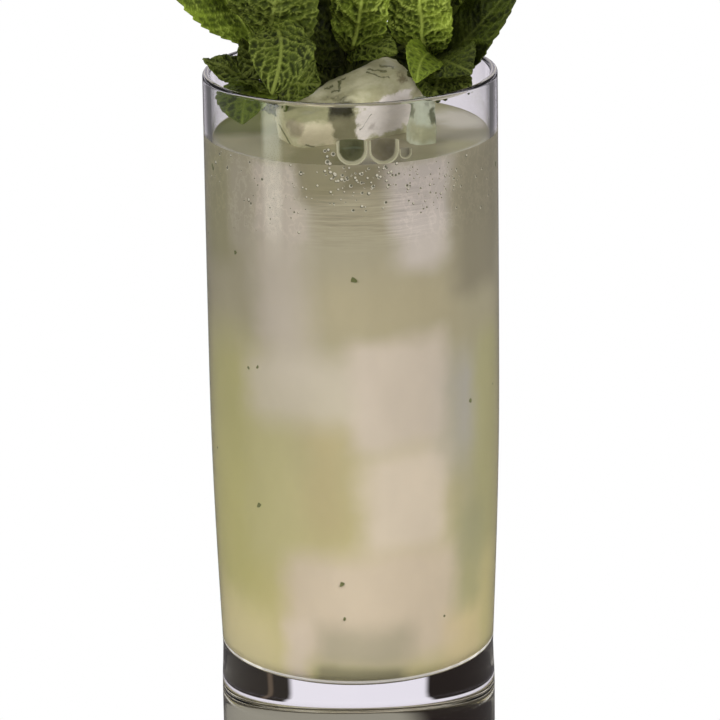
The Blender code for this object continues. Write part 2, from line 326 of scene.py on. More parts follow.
@dataclass(frozen=True)
class DrinkFinish:
    """Cloudy lime drink, with the sunk ice showing as soft pale patches and painted shade of the
    ice and mint as dark ones.

    Heights and radii are in mm, and turns in degrees round the glass. drift is how far the
    patches' borders wander: by degrees, height, x and y. Belt is a band of fine lighter and
    darker streaks, and frost the curls of condensation, both in front of the drink's upper part.
    """

    name: str = "cloudy_lime_drink"
    level: float = 143.6
    radius: float = 30.9
    floor: float = 22.3
    # Painted highlight line round the drink's foot, its glow, and the dark line along its bottom
    # edge.
    foot_highlight: Colour = (1.0, 0.96, 0.88)
    foot_edge: Colour = (0.16, 0.14, 0.10)
    foot_glow: Colour = (0.80, 0.77, 0.68)
    # low and high are the drink's colour at its foot and at its top; the top is darker and greyer
    # as painted shade.
    low: Colour = (0.59, 0.53, 0.265)
    high: Colour = (0.39, 0.355, 0.25)
    top: Colour = (0.36, 0.33, 0.20)
    drift: tuple[float, float, float, float] = (9.0, 5.0, 8.0, 6.0)
    murk: float = 0.24
    glint_turns: Pair = (30.0, 62.0)
    belt_heights: tuple[float, float, float, float] = (123.0, 131.0, 136.0, 141.0)
    belt_turn: tuple[float, float, float] = (6.0, 24.0, 8.0)
    belt_strength: float = 1.1
    frost_heights: Pair = (121.0, 132.0)
    frost_turns: Pair = (14.0, 24.0)
    frost_strength: float = 0.12
    # Side patches: the pale ones are sunk ice behind the cloudy drink, the dark ones painted shade
    # of the ice and mint.
    patches: tuple[Patch, ...] = (
        Patch((-60.0, 65.3), (22.0, 36.0), (0.50, 0.48, 0.19), 0.55, 9.0),
        Patch((-30.0, 120.3), (11.5, 18.0), (0.56, 0.50, 0.42), 0.80, 4.5),
        Patch((-26.0, 103.3), (10.0, 9.0), (0.57, 0.51, 0.42), 0.70, 4.5),
        Patch((14.0, 111.3), (31.0, 8.5), (0.45, 0.395, 0.255), 0.72, 7.5),
        Patch((-21.0, 92.3), (27.0, 8.0), (0.62, 0.56, 0.455), 0.78, 4.5),
        Patch((19.0, 91.8), (20.0, 12.5), (0.63, 0.55, 0.455), 0.90, 3.0),
        Patch((22.0, 66.3), (18.5, 12.5), (0.70, 0.61, 0.495), 0.90, 4.2),
        Patch((-12.0, 71.3), (9.0, 13.0), (0.52, 0.445, 0.25), 0.70, 4.5),
        Patch((-36.0, 67.3), (13.0, 17.0), (0.54, 0.505, 0.275), 0.60, 5.0),
        Patch((49.0, 85.3), (9.0, 13.0), (0.44, 0.42, 0.40), 0.75, 6.5),
        Patch((55.0, 64.3), (9.0, 14.0), (0.40, 0.375, 0.27), 0.60, 5.5),
        Patch((68.0, 75.3), (12.0, 26.0), (0.43, 0.41, 0.21), 0.70, 4.0),
        Patch((8.0, 41.3), (39.0, 13.0), (0.67, 0.57, 0.455), 0.85, 4.0),
        Patch((3.0, 31.8), (20.0, 5.0), (0.38, 0.35, 0.24), 0.65, 4.0),
        Patch((-27.0, 30.3), (5.5, 8.5), (0.72, 0.62, 0.50), 0.80, 2.6),
        Patch((2.0, 24.8), (19.0, 2.4), (0.24, 0.225, 0.14), 0.75, 1.6),
        Patch((-60.0, 30.3), (24.0, 9.0), (0.74, 0.65, 0.40), 0.65, 6.5),
        Patch((52.0, 30.3), (12.0, 7.0), (0.68, 0.56, 0.34), 0.65, 4.0),
        Patch((54.0, 49.3), (9.0, 12.0), (0.38, 0.37, 0.22), 0.65, 3.5),
        Patch((-68.0, 131.3), (12.0, 14.0), (0.31, 0.29, 0.17), 0.80, 4.0),
        Patch((-48.0, 132.3), (8.0, 10.0), (0.43, 0.39, 0.30), 0.70, 3.0),
        Patch((-30.0, 135.6), (11.5, 8.4), (0.55, 0.49, 0.41), 0.85, 1.4),
        Patch((-2.0, 133.8), (15.0, 5.0), (0.33, 0.295, 0.20), 0.60, 4.0),
        Patch((-13.4, 141.3), (8.8, 5.0), (0.26, 0.235, 0.14), 0.88, 1.8),
        Patch((6.3, 141.2), (11.0, 3.2), (0.19, 0.168, 0.10), 0.85, 1.5),
        Patch((29.0, 136.4), (13.5, 7.6), (0.51, 0.455, 0.42), 0.85, 3.0),
        Patch((29.0, 126.3), (11.0, 6.5), (0.60, 0.54, 0.49), 0.85, 3.5),
        Patch((62.0, 128.3), (17.0, 17.0), (0.26, 0.235, 0.165), 0.85, 4.0),
        Patch((115.0, 101.3), (20.0, 15.0), (0.58, 0.50, 0.38), 0.85, 5.0),
        Patch((112.0, 53.3), (22.0, 17.0), (0.64, 0.55, 0.42), 0.85, 5.0),
        Patch((165.0, 79.3), (24.0, 14.0), (0.60, 0.52, 0.40), 0.85, 5.0),
        Patch((-160.0, 39.3), (24.0, 14.0), (0.62, 0.53, 0.40), 0.85, 5.0),
        Patch((-112.0, 89.3), (20.0, 16.0), (0.58, 0.51, 0.39), 0.85, 5.0),
        Patch((-155.0, 119.3), (26.0, 12.0), (0.50, 0.45, 0.35), 0.75, 5.0),
    )
    # Painted shadows and reflections on the drink's top: the mint's painted shadow and reflection
    # at the left back, dark shade near the front, pale reflections at the right.
    top_shadows_and_reflections: tuple[Patch, ...] = (
        Patch((-26.0, 11.0), (9.0, 13.0), (0.115, 0.12, 0.03), 0.95, 4.5),
        Patch((-8.0, -22.0), (5.5, 8.0), (0.22, 0.20, 0.10), 0.85, 2.5),
        Patch((11.0, -16.0), (7.0, 7.0), (0.24, 0.21, 0.13), 0.80, 3.0),
        Patch((25.0, 2.0), (8.0, 12.0), (0.41, 0.37, 0.295), 0.75, 4.0),
        Patch((27.0, 10.0), (7.0, 8.0), (0.68, 0.62, 0.56), 0.85, 4.0),
    )

    def build(self) -> bpy.types.Material:
        """Return the material."""
        graph = Graph(self.name)
        place = graph.place()
        across, back, height = graph.split(place, MM)
        wander = graph.noise(place, 120.0, 2.0) - 0.5
        angle = graph.degrees(across, back * -1.0) + wander * self.drift[0]
        tint = self._side(graph, place, angle, height)
        tint = self._streaks_and_condensation(graph, place, angle, height, tint)
        # Painted highlight: a pale line round the drink's foot that glows, with painted glints at
        # the sides, over a dark line at its very bottom.
        line = graph.within(height, self.floor + 1.2, 0.45, 0.25)
        edge = 1.0 - graph.step(height, self.floor + 0.35, self.floor + 0.6)
        tint = graph.mix(edge * 0.7, graph.mix(line * 0.95, tint, self.foot_highlight), self.foot_edge)
        glints = graph.step(graph.noise(place, 260.0, 3.0, 0.6), 0.40, 0.62)
        glow = line * (0.22 + graph.step(abs(angle), *self.glint_turns) * glints * 0.78)
        reach = (across**2.0 + back**2.0) ** 0.5
        calm = graph.step(height, self.level - 0.6, self.level - 0.2)
        calm = calm * (1.0 - graph.step(reach, self.radius - 0.25, self.radius - 0.05))
        tint = graph.mix(calm, tint, self._surface(graph, across, back, wander))
        shader = graph.principled(
            {
                "Base Color": tint,
                "Emission Color": graph.mix(glow, BLACK, self.foot_glow),
                "Emission Strength": 1.0,
                "Roughness": 0.5 - calm * 0.32,
                "IOR": 1.33,
                "Specular IOR Level": 0.2,
            }
        )
        return graph.finish(shader)

    def _side(self, graph: Graph, place: Value, angle: Value, height: Value) -> Value:
        """Return the colour of the drink's side, with its patches."""
        rise = height + (graph.noise(place, 90.0, 2.0) - 0.5) * self.drift[1]
        # Painted shade: the drink grows darker and greyer towards the top.
        tint = graph.mix(graph.step(height, 25.0, 125.0), self.low, self.high)
        for patch in self.patches:
            turn = graph.math("WRAP", angle - patch.middle[0], 180.0, -180.0)
            tint = patch.lay(graph, tint, turn, rise - patch.middle[1], DEGREES_PER_MM)
        murk = graph.noise(graph.scaled(place, (1.0, 1.0, 0.55)), 70.0, 4.0, 0.6)
        return graph.shade(tint, murk * self.murk + 0.88)

    def _streaks_and_condensation(
        self, graph: Graph, place: Value, angle: Value, height: Value, tint: Value
    ) -> Value:
        """Return a colour with the streaks and the frosty curls laid over it."""
        streaks = graph.noise(graph.scaled(place, (1.0, 1.0, 22.0)), 110.0, 3.0, 0.7) - 0.5
        start, full, fading, end = self.belt_heights
        belt = graph.step(height, start, full) * (1.0 - graph.step(height, fading, end))
        belt = belt * graph.within(angle, *self.belt_turn)
        tint = graph.shade(tint, 1.0 + streaks * belt * self.belt_strength)
        curls = graph.noise(graph.scaled(place, (1.0, 1.0, 0.7)), 420.0, 3.0, 0.6) - 0.5
        frost = graph.step(height, *self.frost_heights) * graph.step(abs(angle), *self.frost_turns)
        curls = 0.5 - graph.step(abs(curls), 0.0, 0.06)
        return graph.shade(tint, 1.0 + curls * frost * self.frost_strength)

    def _surface(self, graph: Graph, across: Value, back: Value, wander: Value) -> Value:
        """Return the colour of the drink's top, with its painted shadows and reflections."""
        tint = graph.mix(0.0, self.top, self.top)
        side, depth = across + wander * self.drift[2], back + wander * self.drift[3]
        for patch in self.top_shadows_and_reflections:
            tint = patch.lay(graph, tint, side - patch.middle[0], depth - patch.middle[1])
        return tint


@dataclass(frozen=True)
class Facet(Patch):
    """A painted facet of the ice, a painted highlight where pale and painted shade where dark,
    whose middle and reach are (x, z) in mm.

    slope is how much the facet climbs towards its right.
    """

    strength: float = 0.9
    blur: float = 0.7
    slope: float = 0.0


@dataclass(frozen=True)
class Crack:
    """A fine dark line in the ice, from start to end as (x, z) in mm, with its width in mm."""

    start: Pair
    end: Pair
    width: float = 0.5


@dataclass(frozen=True)
class IceFinish:
    """Wet cloudy ice with painted lit and shaded facets, a few cracks and a faint painted glow.

    wander is how far the facets' borders stray sideways and upwards, and crack_wander the same
    for the cracks.
    """

    name: str
    lit_and_shaded_facets: tuple[Facet, ...] = ()
    cracks: tuple[Crack, ...] = ()
    clear: Colour = (0.42, 0.395, 0.235)
    cloud: Colour = (0.56, 0.53, 0.35)
    crack: Colour = (0.10, 0.105, 0.045)
    wander: Pair = (5.0, 3.4)
    crack_wander: Pair = (2.2, 2.0)

    def build(self) -> bpy.types.Material:
        """Return the material."""
        graph = Graph(self.name)
        place = graph.place()
        side, _, height = graph.split(place, MM)
        wave = graph.noise(place, 260.0, 4.0, 0.7) - 0.5
        haze = graph.step(graph.noise(place, 160.0, 4.0, 0.6), 0.42, 0.68)
        tint = graph.mix(haze, self.clear, self.cloud)
        # Painted light: pale facets are painted highlights, dark ones painted shade.
        for facet in self.lit_and_shaded_facets:
            along = side - facet.middle[0] + wave * self.wander[0]
            up = height - facet.middle[1] - along * facet.slope - wave * self.wander[1]
            tint = facet.lay(graph, tint, along, up)
        grain = graph.noise(graph.scaled(place, (1.0, 1.0, 2.2)), 520.0, 4.0, 0.65)
        tint = graph.shade(tint, grain * 0.36 + 0.82)
        over, up = side + wave * self.crack_wander[0], height - wave * self.crack_wander[1]
        for crack in self.cracks:
            line = self._line(graph, over, up, crack)
            tint = graph.mix(line * 0.85, tint, self.crack)
        shader = graph.principled(
            {
                "Base Color": tint,
                "Roughness": graph.noise(place, 900.0, 2.0) * 0.15 + 0.12,
                "IOR": 1.31,
                "Transmission Weight": 0.15,
                "Specular IOR Level": 0.3,
                # Painted glow: the ice gives off a little light in its own colour, standing in for
                # light passing through it.
                "Emission Color": tint,
                "Emission Strength": 0.10,
                "Normal": graph.bump(graph.noise(place, 420.0, 4.0, 0.6), 0.0005, 0.4),
            }
        )
        return graph.finish(shader)

    @staticmethod
    def _line(graph: Graph, side: Value, height: Value, crack: Crack) -> Value:
        """Return 1 on a crack's line and 0 away from it."""
        run, lift = (end - start for start, end in zip(crack.start, crack.end))
        across, rise = side - crack.start[0], height - crack.start[1]
        along = (across * run + rise * lift) * (1.0 / (run * run + lift * lift))
        along = along.math("MINIMUM", 1.0).math("MAXIMUM", 0.0)
        gap = ((across - along * run) ** 2.0 + (rise - along * lift) ** 2.0) ** 0.5
        return 1.0 - graph.step(gap, crack.width * 0.1, crack.width * 0.75)


@dataclass(frozen=True)
class LeafFinish:
    """Fresh mint leaf: quilted green between pale veins, lit through a little, each leaf painted
    lighter or darker for how it stands in the light.
    """

    name: str
    deep: Colour = (0.018, 0.026, 0.003)
    green: Colour = (0.075, 0.102, 0.010)
    lit: Colour = (0.120, 0.155, 0.018)
    vein: Colour = (0.25, 0.295, 0.060)
    let_through: float = 0.22

    def build(self) -> bpy.types.Material:
        """Return the material."""
        graph = Graph(self.name)
        place = graph.place()
        swell, tone, veins, edge = (graph.attribute(name) for name in LEAF_ATTRIBUTES)
        mottle = graph.noise(place, 260.0, 4.0, 0.65)
        wash = graph.noise(place, 110.0, 3.0, 0.6)
        tint = graph.mix(graph.step(swell * 0.35 + mottle, 0.40, 0.95), self.green, self.deep)
        tint = graph.mix(graph.step(wash + (mottle - 0.5) * 0.5, 0.50, 0.72) * 0.7, tint, self.lit)
        veined = graph.step(veins + (mottle - 0.5) * 0.9, 0.18, 0.85)
        tint = graph.mix(veined * 0.62, tint, self.vein)
        tint = graph.mix(edge * 0.4, tint, self.lit)
        # Painted light and shade: each leaf is brightened or darkened by its own tone, for how lit
        # it stands.
        tint = graph.shade(tint, tone)
        relief = graph.cell_walls(place, 1300.0) * 1.4 + graph.noise(place, 1900.0, 3.0) * 0.4
        normal = graph.bump(relief, 0.00025, 0.7)
        leaf = graph.principled(
            {
                "Base Color": tint,
                "Roughness": 0.42 + mottle * 0.2,
                "IOR": 1.4,
                "Normal": normal,
                "Specular IOR Level": 0.3,
            }
        )
        through = graph.node("BsdfTranslucent", inputs={"Color": tint, "Normal": normal})
        return graph.finish(graph.blend(self.let_through, leaf, through))


@dataclass(frozen=True)
class PlainFinish:
    """A small thing of one mottled colour."""

    name: str
    first: Colour
    second: Colour
    roughness: float = 0.4
    scale: float = 500.0

    def build(self) -> bpy.types.Material:
        """Return the material."""
        graph = Graph(self.name)
        mottle = graph.noise(graph.place(), self.scale, 3.0)
        tint = graph.mix(graph.step(mottle, 0.35, 0.65), self.first, self.second)
        return graph.finish(graph.principled({"Base Color": tint, "Roughness": self.roughness}))


@dataclass(frozen=True)
class BubbleFinish:
    """A wet bubble painted with light: its dark inside is a painted image of the mint and ice that
    it refracts, and its rim a painted highlight where its rim attribute is near 1.

    A faint painted highlight line crosses the one in front.
    """

    name: str
    inside: Colour
    glint: Colour
    rim: Colour
    line: Colour = (0.16, 0.20, 0.12)
    line_height: float = 147.3
    low: float = 0.80
    high: float = 0.92

    def build(self) -> bpy.types.Material:
        """Return the material."""
        graph = Graph(self.name)
        place = graph.place()
        across, _, height = graph.split(place, MM)
        wave = graph.noise(place, 420.0, 3.0)
        # Painted highlight line across the front bubble.
        line = graph.within(height + wave * 0.4, self.line_height, 0.22, 0.18)
        line = line * graph.within(across, 0.3, 1.9, 0.8)
        tint = graph.mix(graph.step(wave, 0.35, 0.62), self.inside, self.glint)
        tint = graph.mix(line * 0.5, tint, self.line)
        rim = graph.step(graph.attribute("rim") + (wave - 0.5) * 0.12, self.low, self.high)
        tint = graph.mix(rim, tint, self.rim)
        return graph.finish(graph.wet(tint))


@dataclass(frozen=True)
class BeadFinish:
    """Small bubbles painted with light: some with a pale painted highlight in the middle and a dark
    painted rim, and the others the other way round.
    """

    name: str
    pale: Colour = (0.60, 0.56, 0.45)
    dark: Colour = (0.13, 0.125, 0.085)

    def build(self) -> bpy.types.Material:
        """Return the material."""
        graph = Graph(self.name)
        # Each bead's tone picks which way round its painted highlight and painted shade lie.
        swap = graph.step(graph.attribute("tone"), 0.49, 0.51)
        rim = graph.step(graph.attribute("rim"), 0.45, 0.85)
        share = rim + swap - rim * swap * 2.0
        tint = graph.mix(share, self.pale, self.dark)
        return graph.finish(graph.wet(tint))


# Modelling helpers


def clear_selection() -> None:
    """Deselect everything, so that the next operator acts on its own piece alone."""
    if bpy.context.object is not None and bpy.context.object.mode != "OBJECT":
        bpy.ops.object.mode_set(mode="OBJECT")
    bpy.ops.object.select_all(action="DESELECT")


def pick(piece: bpy.types.Object) -> None:
    """Make one object the only one selected, and the active one."""
    clear_selection()
    piece.select_set(True)
    bpy.context.view_layer.objects.active = piece


@contextmanager
def editing(piece: bpy.types.Object) -> Iterator[None]:
    """Stay in edit mode on one piece, with all of it selected."""
    pick(piece)
    bpy.ops.object.mode_set(mode="EDIT")
    bpy.ops.mesh.select_all(action="SELECT")
    yield
    bpy.ops.object.mode_set(mode="OBJECT")


def place_in_mesh(piece: bpy.types.Object) -> None:
    """Apply an object's place, turn and scale to its mesh."""
    pick(piece)
    bpy.ops.object.transform_apply(location=True, rotation=True, scale=True)


def smooth(piece: bpy.types.Object, degrees: float) -> None:
    """Shade a piece smooth, with edges sharper than an angle left sharp."""
    pick(piece)
    bpy.ops.object.shade_smooth_by_angle(angle=math.radians(degrees))


def apply_modifier(piece: bpy.types.Object, kind: str, **settings: object) -> None:
    """Add a modifier to a piece and apply it at once.

    Args:
        piece: The object to shape.
        kind: The modifier's type.
        settings: The modifier's properties.
    """
    pick(piece)
    modifier = piece.modifiers.new(kind.title(), kind)
    for key, setting in settings.items():
        setattr(modifier, key, setting)
    bpy.ops.object.modifier_apply(modifier=modifier.name)


def join(pieces: Sequence[bpy.types.Object], name: str) -> bpy.types.Object:
    """Join several objects into one named piece.

    Args:
        pieces: The objects, of which the first is kept.
        name: The name of the result.

    Returns:
        The joined object.
    """
    clear_selection()
    for piece in pieces:
        piece.select_set(True)
    bpy.context.view_layer.objects.active = pieces[0]
    bpy.ops.object.join()
    pieces[0].name = name
    pieces[0].data.name = name
    return pieces[0]


def dress(piece: bpy.types.Object, material: bpy.types.Material) -> None:
    """Give a piece one material."""
    piece.data.materials.clear()
    piece.data.materials.append(material)


def get_points(piece: bpy.types.Object) -> np.ndarray:
    """Return a mesh's points as rows of x, y and z."""
    flat = np.empty(len(piece.data.vertices) * 3, dtype=np.float64)
    piece.data.vertices.foreach_get("co", flat)
    return flat.reshape(-1, 3)


def set_points(piece: bpy.types.Object, points: np.ndarray) -> None:
    """Move a mesh's points to the given rows of x, y and z."""
    piece.data.vertices.foreach_set("co", points.astype(np.float32).ravel())
    piece.data.update()


def set_attribute(piece: bpy.types.Object, name: str, values: np.ndarray) -> None:
    """Store a number at each point of a mesh."""
    layer = piece.data.attributes.new(name, "FLOAT", "POINT")
    layer.data.foreach_set("value", values.astype(np.float32).ravel())


def clamp(values: np.ndarray) -> np.ndarray:
    """Return values kept between 0 and 1."""
    return np.clip(values, 0.0, 1.0)


def unit(rows: np.ndarray) -> np.ndarray:
    """Return rows of x, y and z, each made 1 long."""
    return rows / np.linalg.norm(rows, axis=1)[:, None]


def turn_outline(name: str, outline: Sequence[Pair], sides: int) -> bpy.types.Object:
    """Turn an outline about Z, one extruded ring after another.

    Args:
        name: The piece's name.
        outline: Points of (radius, height) in metres, from the first cap to the last.
        sides: How many sides the rings have.

    Returns:
        A closed piece with a cap at each end.
    """
    clear_selection()
    radius, height = outline[0]
    bpy.ops.mesh.primitive_circle_add(
        vertices=sides, radius=radius, fill_type="NGON", location=(0.0, 0.0, height)
    )
    piece = bpy.context.object
    piece.name = name
    place_in_mesh(piece)
    with editing(piece):
        for next_radius, next_height in outline[1:]:
            rise = (0.0, 0.0, next_height - height)
            bpy.ops.mesh.extrude_region_move(TRANSFORM_OT_translate={"value": rise})
            share = next_radius / radius
            middle = (0.0, 0.0, next_height)
            bpy.ops.transform.resize(value=(share, share, 1.0), center_override=middle)
            radius, height = next_radius, next_height
        bpy.ops.mesh.select_all(action="SELECT")
        bpy.ops.mesh.normals_make_consistent(inside=False)
    return piece


def arc(middle: Pair, radius: float, start: float, end: float, steps: int) -> list[Pair]:
    """Return points of an arc in an outline's plane, its angles in degrees."""
    angles = (math.radians(start + (end - start) * step / steps) for step in range(steps + 1))
    across, rise = middle
    return [(across + radius * math.cos(turn), rise + radius * math.sin(turn)) for turn in angles]


def bezier(points: Sequence[np.ndarray], share: np.ndarray) -> tuple[np.ndarray, np.ndarray]:
    """Return a quadratic curve's points and unit directions.

    Args:
        points: Its start, bend and end.
        share: Where on the curve, from 0 to 1.

    Returns:
        Rows of places and rows of directions.
    """
    share = np.atleast_1d(share)[:, None]
    start, bend, end = points
    places = start * (1 - share) ** 2 + bend * 2 * share * (1 - share) + end * share**2
    ways = (bend - start) * (1 - share) + (end - bend) * share
    return places, unit(ways)


# Glass and drink


@dataclass
class Tumbler:
    """The tall glass and what fills it."""

    height: float = 157.6 * MM
    foot_round: float = 2.2 * MM
    foot_radius: float = 31.6 * MM
    foot_top: float = 12.3 * MM
    waist_height: float = 22.6 * MM
    waist_radius: float = 31.25 * MM
    shoulder_height: float = 87.6 * MM
    body_radius: float = 32.8 * MM
    rim_radius: float = 32.6 * MM
    wall: float = 2.0 * MM
    rim_wall: float = 1.7 * MM
    floor_height: float = 22.3 * MM
    floor_dish: float = 0.5 * MM
    floor_round: float = 5.0 * MM
    drink_level: float = 143.6 * MM
    into_wall: float = 0.12 * MM
    meniscus: float = 0.4 * MM
    sides: int = 160
    wall_steps: int = 34

    def outer_radius(self, height: float) -> float:
        """Return the outer radius at a height."""
        if height <= self.foot_top:
            return self.foot_radius
        if height <= self.waist_height:
            share = (height - self.foot_top) / (self.waist_height - self.foot_top)
            ease = (1.0 - math.cos(math.pi * share)) / 2.0
            return self.foot_radius + (self.waist_radius - self.foot_radius) * ease
        if height <= self.shoulder_height:
            share = (height - self.waist_height) / (self.shoulder_height - self.waist_height)
            ease = math.sin(math.pi / 2.0 * share)
            return self.waist_radius + (self.body_radius - self.waist_radius) * ease
        share = (height - self.shoulder_height) / (self.height - self.shoulder_height)
        return self.body_radius + (self.rim_radius - self.body_radius) * share * share

    def inner_radius(self, height: float) -> float:
        """Return the inner radius at a height above the floor's round corner."""
        share = max(0.0, (height - self.shoulder_height) / (self.height - self.shoulder_height))
        return self.outer_radius(height) - self.wall - (self.rim_wall - self.wall) * share

    def put_at_wall(
        self, piece: bpy.types.Object, degrees: float, height: float, out: float
    ) -> None:
        """Move a piece to the wall's inner face, its front turned outwards.

        Args:
            piece: The piece, which looks towards -Y.
            degrees: Its turn round the glass.
            height: The height of its middle.
            out: How far its middle is outside the inner face.
        """
        turn = math.radians(degrees)
        radius = self.inner_radius(height) + out
        piece.location = (radius * math.sin(turn), -radius * math.cos(turn), height)
        piece.rotation_euler[2] = turn

    def inner_outline(self, top: float, grow: float) -> list[Pair]:
        """Return the inside's outline from the middle of the floor up to a height.

        Args:
            top: The height to stop at.
            grow: How far outside the true inner face it runs.

        Returns:
            Points of (radius, height).
        """
        corner_height = self.floor_height + self.floor_round
        corner_radius = self.inner_radius(corner_height) - self.floor_round
        points = []
        for share in (0.02, 0.25, 0.5, 0.75):
            dish = self.floor_dish * (1.0 - share * share)
            points.append((corner_radius * share, self.floor_height - dish - grow))
        points += arc((corner_radius, corner_height), self.floor_round + grow, -90.0, 0.0, 10)
        for step in range(1, self.wall_steps + 1):
            level = corner_height + (top - corner_height) * step / self.wall_steps
            points.append((self.inner_radius(level) + grow, level))
        return points

    def build_glass(self) -> bpy.types.Object:
        """Model the glass: thick foot, thin wall and round lip."""
        lip = self.rim_wall / 2.0
        lip_height = self.height - lip
        outline = [(self.foot_radius * 0.5, 0.0)]
        corner = (self.foot_radius - self.foot_round, self.foot_round)
        outline += arc(corner, self.foot_round, -90.0, 0.0, 8)
        for step in range(1, self.wall_steps):
            share = (step / self.wall_steps) ** 1.3
            level = self.foot_round + (lip_height - self.foot_round) * share
            outline.append((self.outer_radius(level), level))
        near_lip = [lip_height - drop * MM for drop in (1.2, 0.4, 0.1)]
        outline += [(self.outer_radius(level), level) for level in near_lip]
        outline += arc((self.rim_radius - lip, lip_height), lip, 0.0, 180.0, 16)
        outline += [(self.inner_radius(level), level) for level in reversed(near_lip)]
        outline += self.inner_outline(lip_height, 0.0)[-2::-1]
        glass = turn_outline("tumbler", outline, self.sides)
        smooth(glass, 40.0)
        dress(glass, ClearFinish("clear_glass").build())
        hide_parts("glass")
        return glass

    def build_drink(self) -> bpy.types.Object:
        """Model the drink up to its level, climbing a little at the wall."""
        top = self.drink_level + self.meniscus
        outline = self.inner_outline(top, self.into_wall)
        edge = self.inner_radius(top)
        for share in (0.25, 0.5, 0.75, 1.0):
            fall = self.meniscus * (1.0 - (1.0 - share) ** 2)
            outline.append((edge - share * 1.8 * MM, top - fall))
        outline.append((edge * 0.5, self.drink_level))
        drink = turn_outline("lime_drink", outline, self.sides)
        smooth(drink, 50.0)
        dress(drink, DrinkFinish().build())
        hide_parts("drink")
        return drink


# Ice


@dataclass
class IceBlock:
    """A melted block of ice, its sizes in millimetres and its turns in degrees."""

    name: str
    node: str
    middle: Point
    size: Point
    turns: Point
    rounding: float
    seed: int
    finish: IceFinish
    melt: float = 1.1 * MM
    melt_span: float = 9.0 * MM
    chips: float = 0.25 * MM
    chip_span: float = 2.2 * MM
    cuts: int = 28

    def build(self) -> bpy.types.Object:
        """Model the block: a subdivided cube with melted faces, round edges and small chips."""
        clear_selection()
        size = Vector(self.size) * MM
        bpy.ops.mesh.primitive_cube_add(size=1.0)
        ice = bpy.context.object
        ice.name = self.name
        ice.scale = size
        place_in_mesh(ice)
        with editing(ice):
            bpy.ops.mesh.subdivide(number_cuts=self.cuts)
        rounding = self.rounding * MM
        reach = size / 2.0 - Vector((rounding, rounding, rounding))
        offset = Vector((self.seed, 0.0, 0.0))
        for vert in ice.data.vertices:
            core = Vector([max(-edge, min(edge, value)) for edge, value in zip(reach, vert.co)])
            outward = (vert.co - core).normalized()
            dent = noise.noise(vert.co / self.melt_span + offset) * self.melt
            chip = noise.fractal(vert.co / self.chip_span + offset, 0.8, 2.0, 3) * self.chips
            vert.co = core + outward * (rounding + dent + chip)
        ice.rotation_euler = Euler([math.radians(turn) for turn in self.turns])
        ice.location = Vector(self.middle) * MM
        place_in_mesh(ice)
        smooth(ice, 60.0)
        dress(ice, self.finish.build())
        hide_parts(self.node)
        return ice


# Mint


@dataclass
class Leaf:
    """A mint leaf.

    root is where it leaves the stem, from 0 at the stem's foot to 1 at its tip. bend and tip
    are the midrib's control point and end in millimetres, and facing the way its upper side
    looks. fold is the slope of its halves, ruffle its margin's wave and crinkle its quilting
    as shares of the usual, belly where it is widest, and its tone is painted brightness:
    painted light where the leaf stands lit and painted shade where it stands in shadow.
    """

    root: float
    bend: Point
    tip: Point
    width: float
    facing: Point
    fold: float
    ruffle: float
    belly: float = 0.42
    tone: float = 1.0
    crinkle: float = 1.0
    along: int = 100
    across: int = 46


